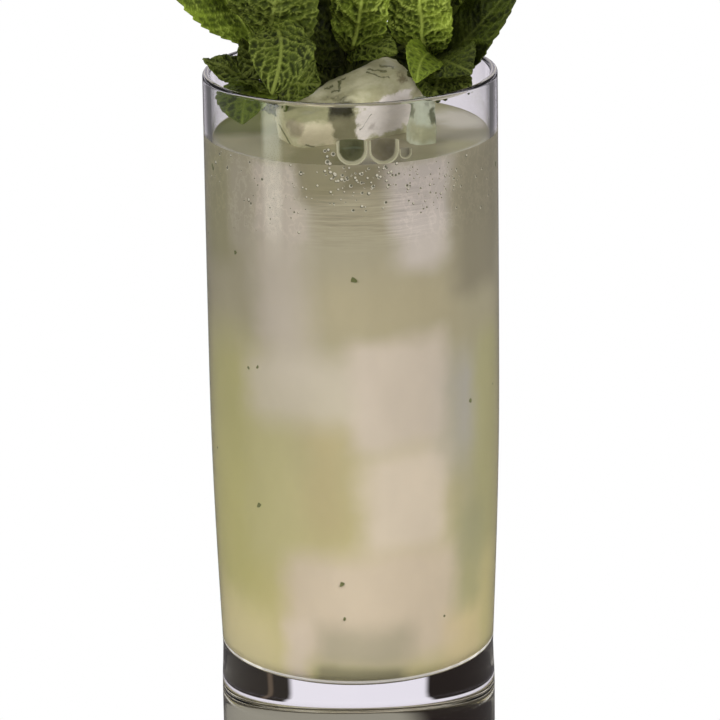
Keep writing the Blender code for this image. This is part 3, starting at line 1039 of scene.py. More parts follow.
@dataclass
class LeafShape:
    """How every mint leaf is formed.

    ripples, veins and teeth are numbers along the leaf. net and fine_net are the width, in
    cells, and the strength of the two nets of small veins.
    """

    petiole_width: float = 1.5 * MM
    petiole_share: float = 0.10
    thickness: float = 0.32 * MM
    ripples: float = 2.2
    ripple_twist: float = 0.8
    veins: float = 8.0
    vein_sweep: float = 0.22
    vein_width: float = 0.16
    net: Pair = (0.22, 0.75)
    fine_net: Pair = (0.25, 0.35)
    rib: float = 0.36 * MM
    cell: float = 1.75 * MM
    quilt: float = 0.70 * MM
    crumple: float = 0.8 * MM
    crumple_span: float = 4.2 * MM
    teeth: float = 14.0
    tooth: float = 0.07

    def half_width(self, share: np.ndarray, leaf: Leaf) -> np.ndarray:
        """Return half the width at shares of the length: petiole, egg shape, toothed margin."""
        blade = clamp((share - self.petiole_share) / (1.0 - self.petiole_share))
        skew = math.log(0.5) / math.log(leaf.belly)
        egg = np.sin(math.pi * blade**skew).clip(0.0) ** 0.8
        saw = (blade * self.teeth) % 1.0
        egg *= 1.0 + self.tooth * (saw - 0.5) * clamp(egg * 3.0)
        least = self.petiole_width / 2.0 * np.where(share < 0.5, 1.0, 0.2)
        return np.maximum(least, leaf.width * MM / 2.0 * egg)

    @staticmethod
    def cells(first: np.ndarray, second: np.ndarray, seed: float) -> np.ndarray:
        """Return how far points are from the borders of a scattered net of cells of size 1.

        Args:
            first: The points' first coordinate, in cells.
            second: Their second coordinate.
            seed: A number that makes nets differ.

        Returns:
            0 on a border, and about 0.7 in the middle of a cell.
        """
        column, row = np.floor(first), np.floor(second)
        nearest = np.full(first.shape, 9.0)
        next_nearest = np.full(first.shape, 9.0)
        for over in (-1, 0, 1):
            for up in (-1, 0, 1):
                cell = (column + over) * 127.1 + (row + up) * 311.7 + seed * 17.3
                shift = (np.sin(cell) * 43758.5453) % 1.0
                lift = (np.sin(cell * 1.7 + 3.1) * 24634.6345) % 1.0
                across = column + over + 0.15 + 0.7 * shift - first
                away = np.hypot(across, row + up + 0.15 + 0.7 * lift - second)
                next_nearest = np.minimum(next_nearest, np.maximum(nearest, away))
                nearest = np.minimum(nearest, away)
        return next_nearest - nearest

    def relief(
        self, share: np.ndarray, side: np.ndarray, half: np.ndarray, length: float, seed: float
    ) -> tuple[np.ndarray, np.ndarray]:
        """Return the quilting of a blade.

        Args:
            share: Where along the leaf, from 0 to 1.
            side: Where across it, from -1 to 1.
            half: Half the width there.
            length: The leaf's length.
            seed: A number that makes leaves differ.

        Returns:
            The height from 0 in the veins to 1 on the cushions, and how much each point is vein.
        """
        out = np.abs(side)
        wobble = 0.12 * np.sin(9.0 * share + 5.0 * out + seed * 7.0)
        phase = self.veins * (share - self.vein_sweep * out**1.2) + wobble + 0.4 * (side > 0)
        lateral = 1.0 - np.abs((phase % 1.0) - 0.5) * 2.0
        main = np.exp(-((out * half / self.rib) ** 2))
        beside = side * half
        slant = share * length - 0.55 * np.abs(beside)
        coarse = self.cells(slant / self.cell, beside / self.cell, seed)
        fine = self.cells(slant / (self.cell * 0.5), beside / (self.cell * 0.5), seed + 5.0)
        vein = clamp(1.0 - lateral / self.vein_width) * clamp(out * 12.0)
        for away, (width, depth) in ((coarse, self.net), (fine, self.fine_net)):
            vein = np.maximum(vein, clamp(1.0 - away / width) * depth)
        cushion = clamp(coarse / 0.55) ** 0.6 * clamp(lateral / 0.45) ** 0.7
        cushion = cushion * (0.86 + 0.14 * clamp(fine / 0.4)) * (1.0 - 0.95 * main)
        return cushion, np.maximum(vein, main)

    @staticmethod
    def lay(
        leaf: Leaf, root: np.ndarray, share: np.ndarray, out: np.ndarray
    ) -> tuple[np.ndarray, np.ndarray]:
        """Lay a leaf's points flat along its midrib.

        Args:
            leaf: The leaf's own sizes.
            root: Where it leaves the stem.
            share: Where along the midrib each point is.
            out: How far it is beside the midrib.

        Returns:
            Rows of places, and rows of the directions its upper side looks.
        """
        places, ways = bezier([root, np.array(leaf.bend) * MM, np.array(leaf.tip) * MM], share)
        facing = np.array(leaf.facing) / np.linalg.norm(leaf.facing)
        beside = unit(np.cross(ways, facing))
        return places + beside * out[:, None], np.cross(beside, ways)

    def build(self, leaf: Leaf, root: np.ndarray, wave: float, name: str) -> bpy.types.Object:
        """Model one leaf from a grid: bent, folded, ruffled, quilted and given its thickness.

        Args:
            leaf: The leaf's own sizes.
            root: Where it leaves the stem.
            wave: Where its margin's wave starts.
            name: The object's name.

        Returns:
            The leaf.
        """
        clear_selection()
        bpy.ops.mesh.primitive_grid_add(
            x_subdivisions=leaf.along, y_subdivisions=leaf.across, size=1.0
        )
        blade = bpy.context.object
        blade.name = name
        grid = get_points(blade)
        share = grid[:, 0] - grid[:, 0].min()
        share /= share.max()
        side = grid[:, 1] / np.abs(grid[:, 1]).max()
        half = self.half_width(share, leaf)
        flat, normal = self.lay(leaf, root, share, side * half)
        swell = np.sin(math.pi * share) * side**2
        turn = 2.0 * math.pi * (self.ripples * share + wave)
        ripple = np.sin(turn + np.sign(side) * self.ripple_twist)
        lift = leaf.fold * np.abs(side) * half + leaf.ruffle * leaf.width * MM * swell * ripple
        length = float(np.linalg.norm(np.array(leaf.tip) * MM - root))
        cushion, vein = self.relief(share, side, half, length, wave)
        blade_part = clamp((share - self.petiole_share) * 8.0)
        fade = blade_part * clamp((1.04 - np.abs(side)) * 5.0)
        rough = (noise.fractal(Vector(row) / self.crumple_span, 0.9, 2.0, 3) for row in flat)
        rough = np.fromiter(rough, float, len(flat))
        lift += (0.5 - cushion) * self.quilt * leaf.crinkle * fade
        lift += rough * self.crumple * leaf.crinkle * blade_part
        set_points(blade, flat + normal * lift[:, None])
        set_attribute(blade, "swell", np.clip(cushion + rough * 0.5, 0.0, 1.5))
        set_attribute(blade, "vein", vein * min(1.0, 0.3 + 0.7 * leaf.crinkle))
        set_attribute(blade, "edge", clamp((np.abs(side) - 0.9) * 10.0))
        set_attribute(blade, "tone", np.full(len(share), leaf.tone))
        apply_modifier(blade, "SOLIDIFY", thickness=self.thickness, offset=0.0)
        return blade


@dataclass
class Sprig:
    """A sprig of mint: a stem, its leaves and the young tuft at its top."""

    name: str
    node: str
    stem: tuple[Point, Point, Point]
    leaves: tuple[Leaf, ...]
    shape: LeafShape = field(default_factory=LeafShape)
    stem_radius: float = 1.5 * MM
    stem_tip_radius: float = 0.9 * MM
    wave_step: float = 0.37
    tuft_leaves: int = 3
    tuft_length_mm: float = 11.0
    tuft_width_mm: float = 6.5
    tuft_root: float = 0.97
    tuft_turn: float = 0.11

    def tuft(self) -> list[Leaf]:
        """Return the small young leaves that close the sprig's top."""
        points = [np.array(point) for point in self.stem]
        places, ways = bezier(points, np.array([1.0]))
        top, way = places[0], ways[0]
        leaves = []
        for number in range(self.tuft_leaves):
            angle = 2.0 * math.pi * (number / self.tuft_leaves + self.tuft_turn * len(self.leaves))
            out = np.array([math.cos(angle), math.sin(angle), 0.0])
            length = self.tuft_length_mm * (1.0 if number % 2 else 0.72)
            bend = top + out * (length * 0.30) + way * (length * 0.45)
            tip = top + out * (length * 0.62) + way * (length * 0.95)
            facing = way - out * 1.4
            leaves.append(
                Leaf(
                    self.tuft_root,
                    tuple(bend),
                    tuple(tip),
                    width=self.tuft_width_mm,
                    facing=tuple(facing),
                    fold=0.25,
                    ruffle=0.04,
                    tone=1.25,
                    along=40,
                    across=16,
                )
            )
        return leaves

    def build_stem(self) -> bpy.types.Object:
        """Model the stem as a tapered tube along its curve."""
        clear_selection()
        bpy.ops.curve.primitive_bezier_curve_add()
        stem = bpy.context.object
        stem.name = f"{self.name}_stem"
        start, bend, end = (Vector(point) * MM for point in self.stem)
        first, last = stem.data.splines[0].bezier_points
        for point in (first, last):
            point.handle_left_type = point.handle_right_type = "FREE"
        first.co, last.co = start, end
        first.handle_right, last.handle_left = start.lerp(bend, 2 / 3), end.lerp(bend, 2 / 3)
        first.handle_left, last.handle_right = start, end
        last.radius = self.stem_tip_radius / self.stem_radius
        stem.data.dimensions = "3D"
        stem.data.resolution_u = 40
        stem.data.bevel_depth = self.stem_radius
        stem.data.bevel_resolution = 4
        stem.data.use_fill_caps = True
        pick(stem)
        bpy.ops.object.convert(target="MESH")
        stem = bpy.context.object
        for name, value in zip(LEAF_ATTRIBUTES, (0.7, 0.9, 0.35, 0.0)):
            set_attribute(stem, name, np.full(len(stem.data.vertices), value))
        return stem

    def build(self, material: bpy.types.Material) -> bpy.types.Object:
        """Model the whole sprig as one piece.

        Args:
            material: The leaf finish.

        Returns:
            The sprig.
        """
        stem_points = [np.array(point) * MM for point in self.stem]
        parts = [self.build_stem()]
        for number, leaf in enumerate(list(self.leaves) + self.tuft()):
            root = bezier(stem_points, np.array([leaf.root]))[0][0]
            name = f"{self.name}_leaf_{number}"
            parts.append(self.shape.build(leaf, root, self.wave_step * number, name))
        sprig = join(parts, self.name)
        place_in_mesh(sprig)
        smooth(sprig, 60.0)
        dress(sprig, material)
        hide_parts(self.node)
        return sprig


# Bubbles and specks


@dataclass(frozen=True)
class BigBubble:
    """A big bubble on the wall, from its degrees round the glass, height in mm and radius in mm."""

    degrees: float
    height: float
    radius: float
    inside: Colour
    glint: Colour
    upright: float = 0.64


@dataclass(frozen=True)
class Cluster:
    """Small bubbles strewn over a part of the wall.

    turns is a middle and a spread, or two limits where the bubbles are spread evenly round the
    glass. heights is the lowest, the highest and the commonest one, if there is one.
    """

    count: int
    turns: Pair
    heights: tuple[float, ...]
    radii: Pair
    even: bool = False

    def strew(self, draw: random.Random) -> Iterator[Point]:
        """Give the degrees round the glass, the height and the radius of each bubble."""
        turn = draw.uniform if self.even else draw.gauss
        height = draw.triangular if len(self.heights) == 3 else draw.uniform
        for _ in range(self.count):
            yield turn(*self.turns), height(*self.heights), draw.uniform(*self.radii)


@dataclass
class Bubbles:
    """Air bubbles: big ones between the ice and the glass, and many small ones on the wall."""

    tumbler: Tumbler
    seed: int = 5
    # The big bubbles' rims are painted highlights.
    rim: Colour = (0.47, 0.44, 0.30)
    # Each big bubble's inside is a painted image of the mint and ice it refracts, mottled with
    # painted glints.
    big: tuple[BigBubble, ...] = (
        BigBubble(0.4, 146.95, 3.2, (0.075, 0.075, 0.030), (0.12, 0.12, 0.055)),
        BigBubble(13.3, 146.85, 3.2, (0.16, 0.14, 0.085), (0.20, 0.175, 0.12)),
        BigBubble(22.0, 145.9, 1.35, (0.22, 0.20, 0.13), (0.26, 0.24, 0.17)),
    )
    clusters: tuple[Cluster, ...] = (
        Cluster(90, (4.0, 9.0), (133.5, 143.9, 142.3), (0.16, 0.46)),
        Cluster(70, (36.0, 10.0), (130.3, 143.7, 139.8), (0.12, 0.36)),
        Cluster(120, (60.0, 345.0), (125.3, 143.9, 143.1), (0.15, 0.5), even=True),
        Cluster(40, (-26.0, 18.0), (125.3, 143.5, 140.3), (0.10, 0.26)),
        Cluster(9, (-9.0, 1.2), (141.0, 147.5), (0.3, 0.6)),
    )

    @staticmethod
    def raise_half(piece: bpy.types.Object, upright: float, steps: int = 4) -> None:
        """Keep the lower half of a round piece and draw its open edge straight up."""
        with editing(piece):
            bpy.ops.mesh.bisect(
                plane_co=(0.0, 0.0, 0.0), plane_no=(0.0, 0.0, 1.0), clear_outer=True
            )
            for _ in range(steps):
                rise = (0.0, 0.0, upright / steps)
                bpy.ops.mesh.extrude_region_move(TRANSFORM_OT_translate={"value": rise})

    def build_ring(self, bubble: BigBubble) -> bpy.types.Object:
        """Model a big bubble's rim on the wall, of radius 1 and heaviest at the bottom."""
        clear_selection()
        bpy.ops.mesh.primitive_torus_add(
            major_segments=96,
            minor_segments=14,
            major_radius=0.95,
            minor_radius=0.06,
            rotation=(math.pi / 2.0, 0.0, 0.0),
        )
        ring = bpy.context.object
        place_in_mesh(ring)
        points = get_points(ring)
        points[:, 1] *= 1.0 + 0.7 * clamp(-points[:, 2]) ** 2
        set_points(ring, points)
        self.raise_half(ring, bubble.upright)
        set_attribute(ring, "rim", np.ones(len(ring.data.vertices)))
        return ring

    def build_dome(self, bubble: BigBubble) -> bpy.types.Object:
        """Model a big bubble's skin, a hollow dome of radius 1 behind its rim."""
        clear_selection()
        bpy.ops.mesh.primitive_uv_sphere_add(
            segments=64, ring_count=32, radius=1.0, rotation=(math.pi / 2.0, 0.0, 0.0)
        )
        dome = bpy.context.object
        place_in_mesh(dome)
        with editing(dome):
            bpy.ops.mesh.bisect(
                plane_co=(0.0, 0.02, 0.0), plane_no=(0.0, 1.0, 0.0), clear_inner=True
            )
        self.raise_half(dome, bubble.upright)
        points = get_points(dome)
        set_attribute(dome, "rim", np.hypot(points[:, 0], np.minimum(points[:, 2], 0.0)))
        apply_modifier(dome, "SOLIDIFY", thickness=0.05, offset=-1.0)
        return dome

    def build_one(self, bubble: BigBubble, number: int) -> bpy.types.Object:
        """Model one big bubble: a dome that bulges into the drink, and its rim on the wall."""
        name = f"big_bubble_{number}"
        whole = join([self.build_ring(bubble), self.build_dome(bubble)], name)
        radius = bubble.radius * MM
        whole.scale = (radius, radius * 0.75, radius)
        self.tumbler.put_at_wall(whole, bubble.degrees, bubble.height * MM, radius * -0.10)
        place_in_mesh(whole)
        smooth(whole, 50.0)
        dress(whole, BubbleFinish(f"{name}_skin", bubble.inside, bubble.glint, self.rim).build())
        return whole

    def build_small(self) -> bpy.types.Object:
        """Model one small bubble and copy it to every place on the inside of the wall."""
        clear_selection()
        bpy.ops.mesh.primitive_ico_sphere_add(subdivisions=3, radius=1.0)
        model = bpy.context.object
        points = get_points(model)
        # The rim number is measured from a point a little above and beside the middle, where the
        # painted highlight sits.
        set_attribute(model, "rim", np.hypot(points[:, 0] - 0.15, points[:, 2] - 0.2))
        draw, flip = random.Random(self.seed), random.Random(self.seed + 1)
        beads = []
        for cluster in self.clusters:
            for degrees, height, radius in cluster.strew(draw):
                bead = model.copy()
                bead.data = model.data.copy()
                set_attribute(bead, "tone", np.full(len(points), float(flip.random() < 0.5)))
                bpy.context.scene.collection.objects.link(bead)
                size = radius * MM
                bead.scale = (size, size * 0.6, size)
                out = self.tumbler.into_wall - size * 0.30
                self.tumbler.put_at_wall(bead, degrees, height * MM, out)
                beads.append(bead)
        bpy.data.objects.remove(model, do_unlink=True)
        small = join(beads, "small_bubbles")
        place_in_mesh(small)
        smooth(small, 180.0)
        dress(small, BeadFinish("bubble_beads").build())
        return small


@dataclass
class Specks:
    """Scraps of mint that float in the drink near the glass.

    Each place is its degrees round the glass, its height and its size. The named ones are in
    front, and the strewn ones round the sides and the back.
    """

    tumbler: Tumbler
    seed: int = 11
    strewn: int = 22
    clear_of_wall: float = 0.03 * MM
    thickness: float = 0.12 * MM
    named: tuple[Point, ...] = (
        (-53.2, 121.4, 0.75),
        (0.5, 118.3, 1.0),
        (-41.8, 96.4, 0.6),
        (-46.9, 95.6, 0.5),
        (53.5, 86.5, 0.7),
        (-43.0, 64.0, 0.9),
        (-6.1, 47.8, 0.9),
        (-5.5, 39.5, 0.5),
        (39.3, 37.2, 0.4),
    )

    def build(self) -> bpy.types.Object:
        """Model one torn scrap and copy it, turned and scaled, to each place."""
        draw = random.Random(self.seed)
        places = list(self.named)
        for _ in range(self.strewn):
            degrees, height = draw.uniform(70.0, 290.0), draw.uniform(29.0, 139.0)
            places.append((degrees, height, draw.uniform(0.35, 0.9)))
        scraps = []
        for degrees, height, size in places:
            clear_selection()
            bpy.ops.mesh.primitive_circle_add(vertices=9, radius=size * MM, fill_type="NGON")
            scrap = bpy.context.object
            for vert in scrap.data.vertices:
                vert.co *= draw.uniform(0.55, 1.1)
            upright = math.radians(90.0 + draw.uniform(-12, 12))
            scrap.rotation_euler = (upright, draw.uniform(0, 3.0), 0.0)
            out = self.tumbler.into_wall + self.clear_of_wall
            self.tumbler.put_at_wall(scrap, degrees, height * MM, out)
            scrap.scale = (0.7, 1.0, 1.0)
            place_in_mesh(scrap)
            apply_modifier(scrap, "SOLIDIFY", thickness=self.thickness, offset=0.0)
            scraps.append(scrap)
        specks = join(scraps, "mint_specks")
        green = PlainFinish("speck_green", (0.10, 0.11, 0.035), (0.16, 0.17, 0.07), 0.6)
        dress(specks, green.build())
        return specks


# Studio


@dataclass(frozen=True)
class SoftLight:
    """A rectangular light that glass doesn't mirror, in metres and watts."""

    name: str
    place: Point
    aim: Point
    size: Pair
    watts: float

    def build(self) -> None:
        """Add the light."""
        data = bpy.data.lights.new(self.name, "AREA")
        data.shape = "RECTANGLE"
        data.size, data.size_y = self.size
        data.energy = self.watts
        light = bpy.data.objects.new(self.name, data)
        light.location = self.place
        light.visible_glossy = light.visible_transmission = False
        way = Vector(self.aim) - Vector(self.place)
        light.rotation_euler = way.to_track_quat("-Z", "Y").to_euler()
        bpy.context.scene.collection.objects.link(light)


@dataclass(frozen=True)
class Card:
    """An upright glowing card that only reflections see, brightest at its top.

    It stands at an angle round the glass, in degrees from the front, and faces it. The rest is
    in metres.
    """

    name: str
    degrees: float
    distance: float
    height: float
    size: Pair
    glow: Colour

    def build(self) -> None:
        """Add the card."""
        turn = math.radians(self.degrees)
        middle = (self.distance * math.sin(turn), -self.distance * math.cos(turn), self.height)
        clear_selection()
        bpy.ops.mesh.primitive_plane_add(size=1.0, location=middle)
        card = bpy.context.object
        card.name = self.name
        card.scale = (*self.size, 1.0)
        card.rotation_euler = (math.radians(90.0), 0.0, turn)
        place_in_mesh(card)
        dress(card, self._finish(middle, turn))
        card.visible_camera = card.visible_diffuse = False
        card.visible_shadow = card.visible_transmission = False

    def _finish(self, middle: Point, turn: float) -> bpy.types.Material:
        """Return the card's glow, which fades to its sides and its foot."""
        graph = Graph(self.name)
        width, rise = self.size
        low = self.height - rise / 2.0
        across, back, height = graph.split(graph.place())
        fade = graph.step(height, low, low + rise * 0.25)
        fade = fade * (graph.step(height, low + rise * 0.38, low + rise * 0.50) * 1.2 + 1.0)
        along = (across - middle[0]) * math.cos(turn) + (back - middle[1]) * math.sin(turn)
        fade = fade * graph.within(along, 0.0, width * 0.34, width * 0.15)
        glow = graph.shade(graph.mix(0.0, self.glow, self.glow), fade)
        return graph.finish(graph.node("Emission", inputs={"Color": glow}))


@dataclass
class Studio:
    """The camera, a pale floor and a soft room, which glass sees as bright panels with gaps.

    Colours named mirrored are what reflections see, and those named passed what is seen through
    the glass. The gaps between the panels reach from band_foot to band_top, as heights of a way
    of length 1. To the left of foot_turns, in degrees, the foot passes the gaps' colour.
    """

    camera_place: Point = (1.33 * MM, -807.7 * MM, 348.2 * MM)
    pitch: float = 17.72
    roll: float = 0.807
    lens: float = 187.385
    fill: float = 0.52
    haze: Colour = (0.80, 0.75, 0.83)
    gap_colour: Colour = (0.016, 0.011, 0.009)
    gap_mirrored: Colour = (0.17, 0.16, 0.165)
    gap_passed: Colour = (0.42, 0.40, 0.42)
    sky_passed: Colour = (0.22, 0.22, 0.16)
    foot_passed: Colour = (0.30, 0.28, 0.23)
    strip_mirrored: Colour = (0.12, 0.085, 0.06)
    floor_mirrored: Colour = (0.13, 0.125, 0.13)
    panel_mirrored: Colour = (1.0, 0.95, 1.05)
    panel_degrees: float = 22.0
    panel_blur: float = 1.5
    strip_degrees: float = 31.0
    band_foot: Pair = (0.10, 0.16)
    band_top: Pair = (0.52, 0.60)
    sky_rise: Pair = (0.10, 0.22)
    foot_turns: Pair = (12.0, 26.0)
    streak: Card = Card("streak", -61.0, 0.33, 0.076, (0.13, 0.09), (2.2, 2.25, 1.9))
    lights: tuple[SoftLight, ...] = (
        SoftLight("left", (-0.55, -0.35, 0.35), (0.0, 0.0, 0.10), (0.35, 0.45), 4.5),
        SoftLight("right", (0.55, -0.45, 0.35), (0.0, 0.0, 0.10), (0.35, 0.45), 3.8),
        SoftLight("back", (0.10, 0.60, 0.65), (0.0, 0.0, 0.16), (0.6, 0.3), 5.2),
    )

    def build_camera(self) -> None:
        """Place the camera and make it the scene's."""
        pitch, roll = math.radians(self.pitch), math.radians(self.roll)
        forward = Vector((0.0, math.cos(pitch), -math.sin(pitch)))
        level = Vector((1.0, 0.0, 0.0))
        rise = level.cross(forward)
        right = level * math.cos(roll) - rise * math.sin(roll)
        up = level * math.sin(roll) + rise * math.cos(roll)
        data = bpy.data.cameras.new("camera")
        data.lens = self.lens
        data.sensor_width = 36.0
        data.clip_start = 0.01
        camera = bpy.data.objects.new("camera", data)
        turn = Matrix((right, up, -forward)).transposed()
        camera.matrix_world = Matrix.Translation(self.camera_place) @ turn.to_4x4()
        bpy.context.scene.collection.objects.link(camera)
        bpy.context.scene.camera = camera

    def build_floor(self) -> None:
        """Add the floor, and a polished table top where the thick foot shows it."""
        for name, size, level in (("floor", 8.0, -0.0004), ("table_top", 0.36, -0.0002)):
            clear_selection()
            bpy.ops.mesh.primitive_plane_add(size=size, location=(0.0, 0.0, level))
            floor = bpy.context.object
            floor.name = name
            place_in_mesh(floor)
            dress(floor, self._floor_finish(name, polished=name == "table_top"))

    def _floor_finish(self, name: str, polished: bool) -> bpy.types.Material:
        """Return the floor's material: white to the camera, darker to the glass."""
        graph = Graph(name)
        across, back, _ = graph.split(graph.place())
        away = 1.0 - graph.step(back, -0.10, 0.0)
        away = graph.step(abs(across), 0.16, 0.26).math("MAXIMUM", away)
        mirrored = graph.mix(graph.ray(Ray.GLOSSY), self.haze, self.floor_mirrored)
        passed = graph.mix(away, self.haze, self.floor_mirrored)
        tint = graph.mix(graph.ray(Ray.PASSED), mirrored, passed)
        tint = graph.mix(graph.ray(Ray.CAMERA), tint, WHITE)
        seen = graph.node("Emission", inputs={"Color": tint})
        lit = graph.principled({"Base Color": (0.62, 0.61, 0.62, 1.0), "Roughness": 0.6})
        shader = graph.blend(graph.ray(Ray.DIFFUSE), seen, lit)
        if polished:
            polish = {"Color": (0.85, 0.85, 0.85, 1.0), "Roughness": 0.02}
            mirror = graph.node("BsdfGlossy", inputs=polish)
            shader = graph.blend(graph.ray(Ray.PASSED), shader, mirror)
        return graph.finish(shader)

    def build_world(self) -> None:
        """Light the room softly: white to the camera, bright panels with dark gaps to the glass."""
        graph = Graph("room", world=True)
        across, back, rise = graph.split(graph.node("TexCoord", output="Generated"))
        turn = graph.degrees(across, back)
        quarter = abs(graph.math("WRAP", abs(turn), 45.0, -45.0))
        low, high = self.panel_degrees - self.panel_blur, self.panel_degrees + self.panel_blur
        gap = graph.step(quarter, low, high)
        band = graph.step(rise, *self.band_foot) * (1.0 - graph.step(rise, *self.band_top))
        passes = graph.ray(Ray.PASSES)
        mirrored = self._mirrored(graph, turn, gap, band, passes)
        passed = self._passed(graph, turn, rise, gap * band, passes)
        tint = graph.mix(graph.ray(Ray.PASSED), mirrored, passed)
        tint = graph.mix(graph.ray(Ray.DIFFUSE), tint, (self.fill, self.fill, self.fill))
        tint = graph.mix(graph.ray(Ray.CAMERA), tint, WHITE)
        bpy.context.scene.world = graph.finish(graph.node("Background", inputs={"Color": tint}))
        bpy.context.scene.view_settings.view_transform = "Standard"

    def _mirrored(self, graph: Graph, turn: Value, gap: Value, band: Value, passes: Value) -> Value:
        """Return the room's colour in reflections, darkest in those from inside the glass."""
        inside = graph.step(passes, 0.4, 0.6)
        dark = graph.mix(inside, self.gap_mirrored, self.gap_colour)
        strip = graph.within(turn, self.strip_degrees, 1.2, 0.9)
        dark = graph.mix(strip, dark, self.strip_mirrored)
        bright = graph.mix(graph.ray(Ray.GLOSSY), self.haze, self.panel_mirrored)
        sides = graph.within(abs(turn), 90.0, 30.0, 2.0)
        return graph.mix(gap.math("MAXIMUM", sides) * band, bright, dark)

    def _passed(self, graph: Graph, turn: Value, rise: Value, gap: Value, passes: Value) -> Value:
        """Return the room's colour through the glass, whose foot passes a ray at most twice."""
        deep = graph.step(passes, 2.4, 2.6)
        left = graph.step(turn * -1.0, *self.foot_turns)
        foot = graph.mix(left, self.foot_passed, self.gap_colour)
        sky = graph.mix(deep, foot, self.sky_passed)
        clear = graph.mix(gap, self.haze, self.gap_passed)
        return graph.mix(graph.step(rise, *self.sky_rise), clear, sky)

    def build(self) -> None:
        """Set up the whole studio."""
        self.build_camera()
        self.build_floor()
        self.build_world()
        self.streak.build()
        for light in self.lights:
            light.build()


# The pieces of this drink

# Each leaf's tone is painted light and shade: high on lit leaves, low on leaves in shadow.
LEFT_LEAVES = (
    Leaf(
        0.62, (-24.5, 2.0, 172.3), (-43.0, 4.0, 191.3), width=20.0, facing=(0.45, -0.85, 0.3),
        fold=0.18, ruffle=0.04, belly=0.58, tone=2.70, crinkle=0.45,
    ),
    Leaf(
        0.72, (-15.5, -8.0, 171.3), (-14.0, -8.0, 192.1), width=20.0, facing=(-0.2, -0.96, 0.1),
        fold=0.18, ruffle=0.07, tone=0.95,
    ),
    Leaf(
        0.85, (-11.5, -18.0, 173.3), (-16.8, -21.3, 157.3), width=14.5, facing=(0.1, -0.75, 0.65),
        fold=0.22, ruffle=0.12, belly=0.60, tone=0.95,
    ),
    Leaf(
        0.44, (-21.5, -7.0, 157.9), (-32.2, -3.5, 160.9), width=13.0, facing=(-0.05, -0.42, 0.9),
        fold=0.12, ruffle=0.07, belly=0.37, tone=0.70,
    ),
    Leaf(
        0.42, (-23.5, -4.0, 158.3), (-23.2, -13.0, 148.8), width=13.0, facing=(-0.15, -0.85, 0.5),
        fold=0.10, ruffle=0.05, belly=0.60, tone=1.50, crinkle=0.20,
    ),
    Leaf(
        0.62, (-24.0, 16.0, 169.3), (-31.0, 30.0, 177.3), width=19.0, facing=(0.2, 0.4, 0.9),
        fold=0.18, ruffle=0.05,
    ),
    Leaf(
        0.46, (-15.0, -4.0, 155.9), (-6.5, -10.5, 156.3), width=16.5, facing=(0.0, -0.8, 0.55),
        fold=0.16, ruffle=0.08, belly=0.50, tone=0.80,
    ),
    Leaf(
        0.52, (-17.5, 2.0, 162.3), (-23.5, -3.5, 156.8), width=14.0, facing=(0.0, -0.8, 0.6),
        fold=0.16, ruffle=0.06, belly=0.50, tone=0.50,
    ),
)

CENTRE_LEAVES = (
    Leaf(
        0.55, (3.6, -2.0, 169.8), (3.5, -6.0, 189.8), width=13.0, facing=(-0.15, -0.97, 0.1),
        fold=0.16, ruffle=0.06, tone=2.30,
    ),
    Leaf(
        0.50, (-5.0, 6.0, 165.3), (-6.0, 4.0, 186.3), width=17.0, facing=(0.5, -0.85, 0.1),
        fold=0.20, ruffle=0.06, tone=0.28,
    ),
    Leaf(
        0.62, (3.0, 5.0, 162.3), (10.5, -2.5, 161.6), width=9.5, facing=(-0.1, -0.7, 0.7),
        fold=0.18, ruffle=0.05, belly=0.50,
    ),
    Leaf(
        0.60, (0.0, 26.0, 165.3), (-4.0, 38.0, 175.3), width=20.0, facing=(0.0, 0.4, 0.9),
        fold=0.18, ruffle=0.05,
    ),
    Leaf(
        0.80, (6.0, 19.0, 177.3), (9.0, 28.0, 187.3), width=16.0, facing=(-0.2, 0.6, 0.7),
        fold=0.18, ruffle=0.06,
    ),
    Leaf(
        0.32, (-3.0, 12.0, 153.8), (-15.0, 7.0, 157.1), width=17.0, facing=(0.1, -0.95, 0.25),
        fold=0.16, ruffle=0.06, belly=0.50, tone=0.40,
    ),
    Leaf(
        0.50, (6.0, 13.5, 156.8), (16.6, 12.6, 161.5), width=13.5, facing=(0.1, -0.9, 0.4),
        fold=0.12, ruffle=0.05, belly=0.50, tone=0.40,
    ),
)

RIGHT_LEAVES = (
    Leaf(
        0.60, (14.6, -2.0, 166.3), (16.2, -2.0, 189.3), width=16.0, facing=(-0.3, -0.95, 0.1),
        fold=0.24, ruffle=0.05, belly=0.48, tone=2.30,
    ),
    Leaf(
        0.66, (21.6, 7.5, 166.3), (26.5, 8.0, 184.8), width=20.0, facing=(-0.4, -0.88, 0.2),
        fold=0.18, ruffle=0.06, tone=0.70,
    ),
    Leaf(
        0.54, (26.0, -3.0, 163.3), (38.0, 2.0, 177.8), width=14.5, facing=(-0.7, -0.65, 0.25),
        fold=0.16, ruffle=0.04, tone=0.62, crinkle=0.40,
    ),
    Leaf(
        0.60, (21.1, -10.0, 162.3), (26.5, -11.5, 158.8), width=14.0, facing=(-0.1, -0.6, 0.8),
        fold=0.16, ruffle=0.06, tone=0.60, crinkle=0.70,
    ),
    Leaf(
        0.65, (15.3, -10.0, 164.1), (14.4, -14.5, 157.7), width=9.0, facing=(0.3, -0.7, 0.6),
        fold=0.28, ruffle=0.03, tone=2.10, crinkle=0.30,
    ),
    Leaf(
        0.44, (23.5, -3.0, 155.8), (26.0, -11.0, 154.8), width=8.0, facing=(-0.1, -0.6, 0.8),
        fold=0.16, ruffle=0.05, tone=0.90,
    ),
    Leaf(
        0.62, (26.0, 18.0, 167.3), (33.0, 29.0, 176.3), width=19.0, facing=(-0.2, 0.4, 0.9),
        fold=0.18, ruffle=0.05,
    ),
    Leaf(
        0.52, (21.0, -3.0, 157.3), (17.6, -14.5, 153.5), width=13.5, facing=(0.1, -0.75, 0.65),
        fold=0.16, ruffle=0.06, belly=0.55, tone=0.50,
    ),
)

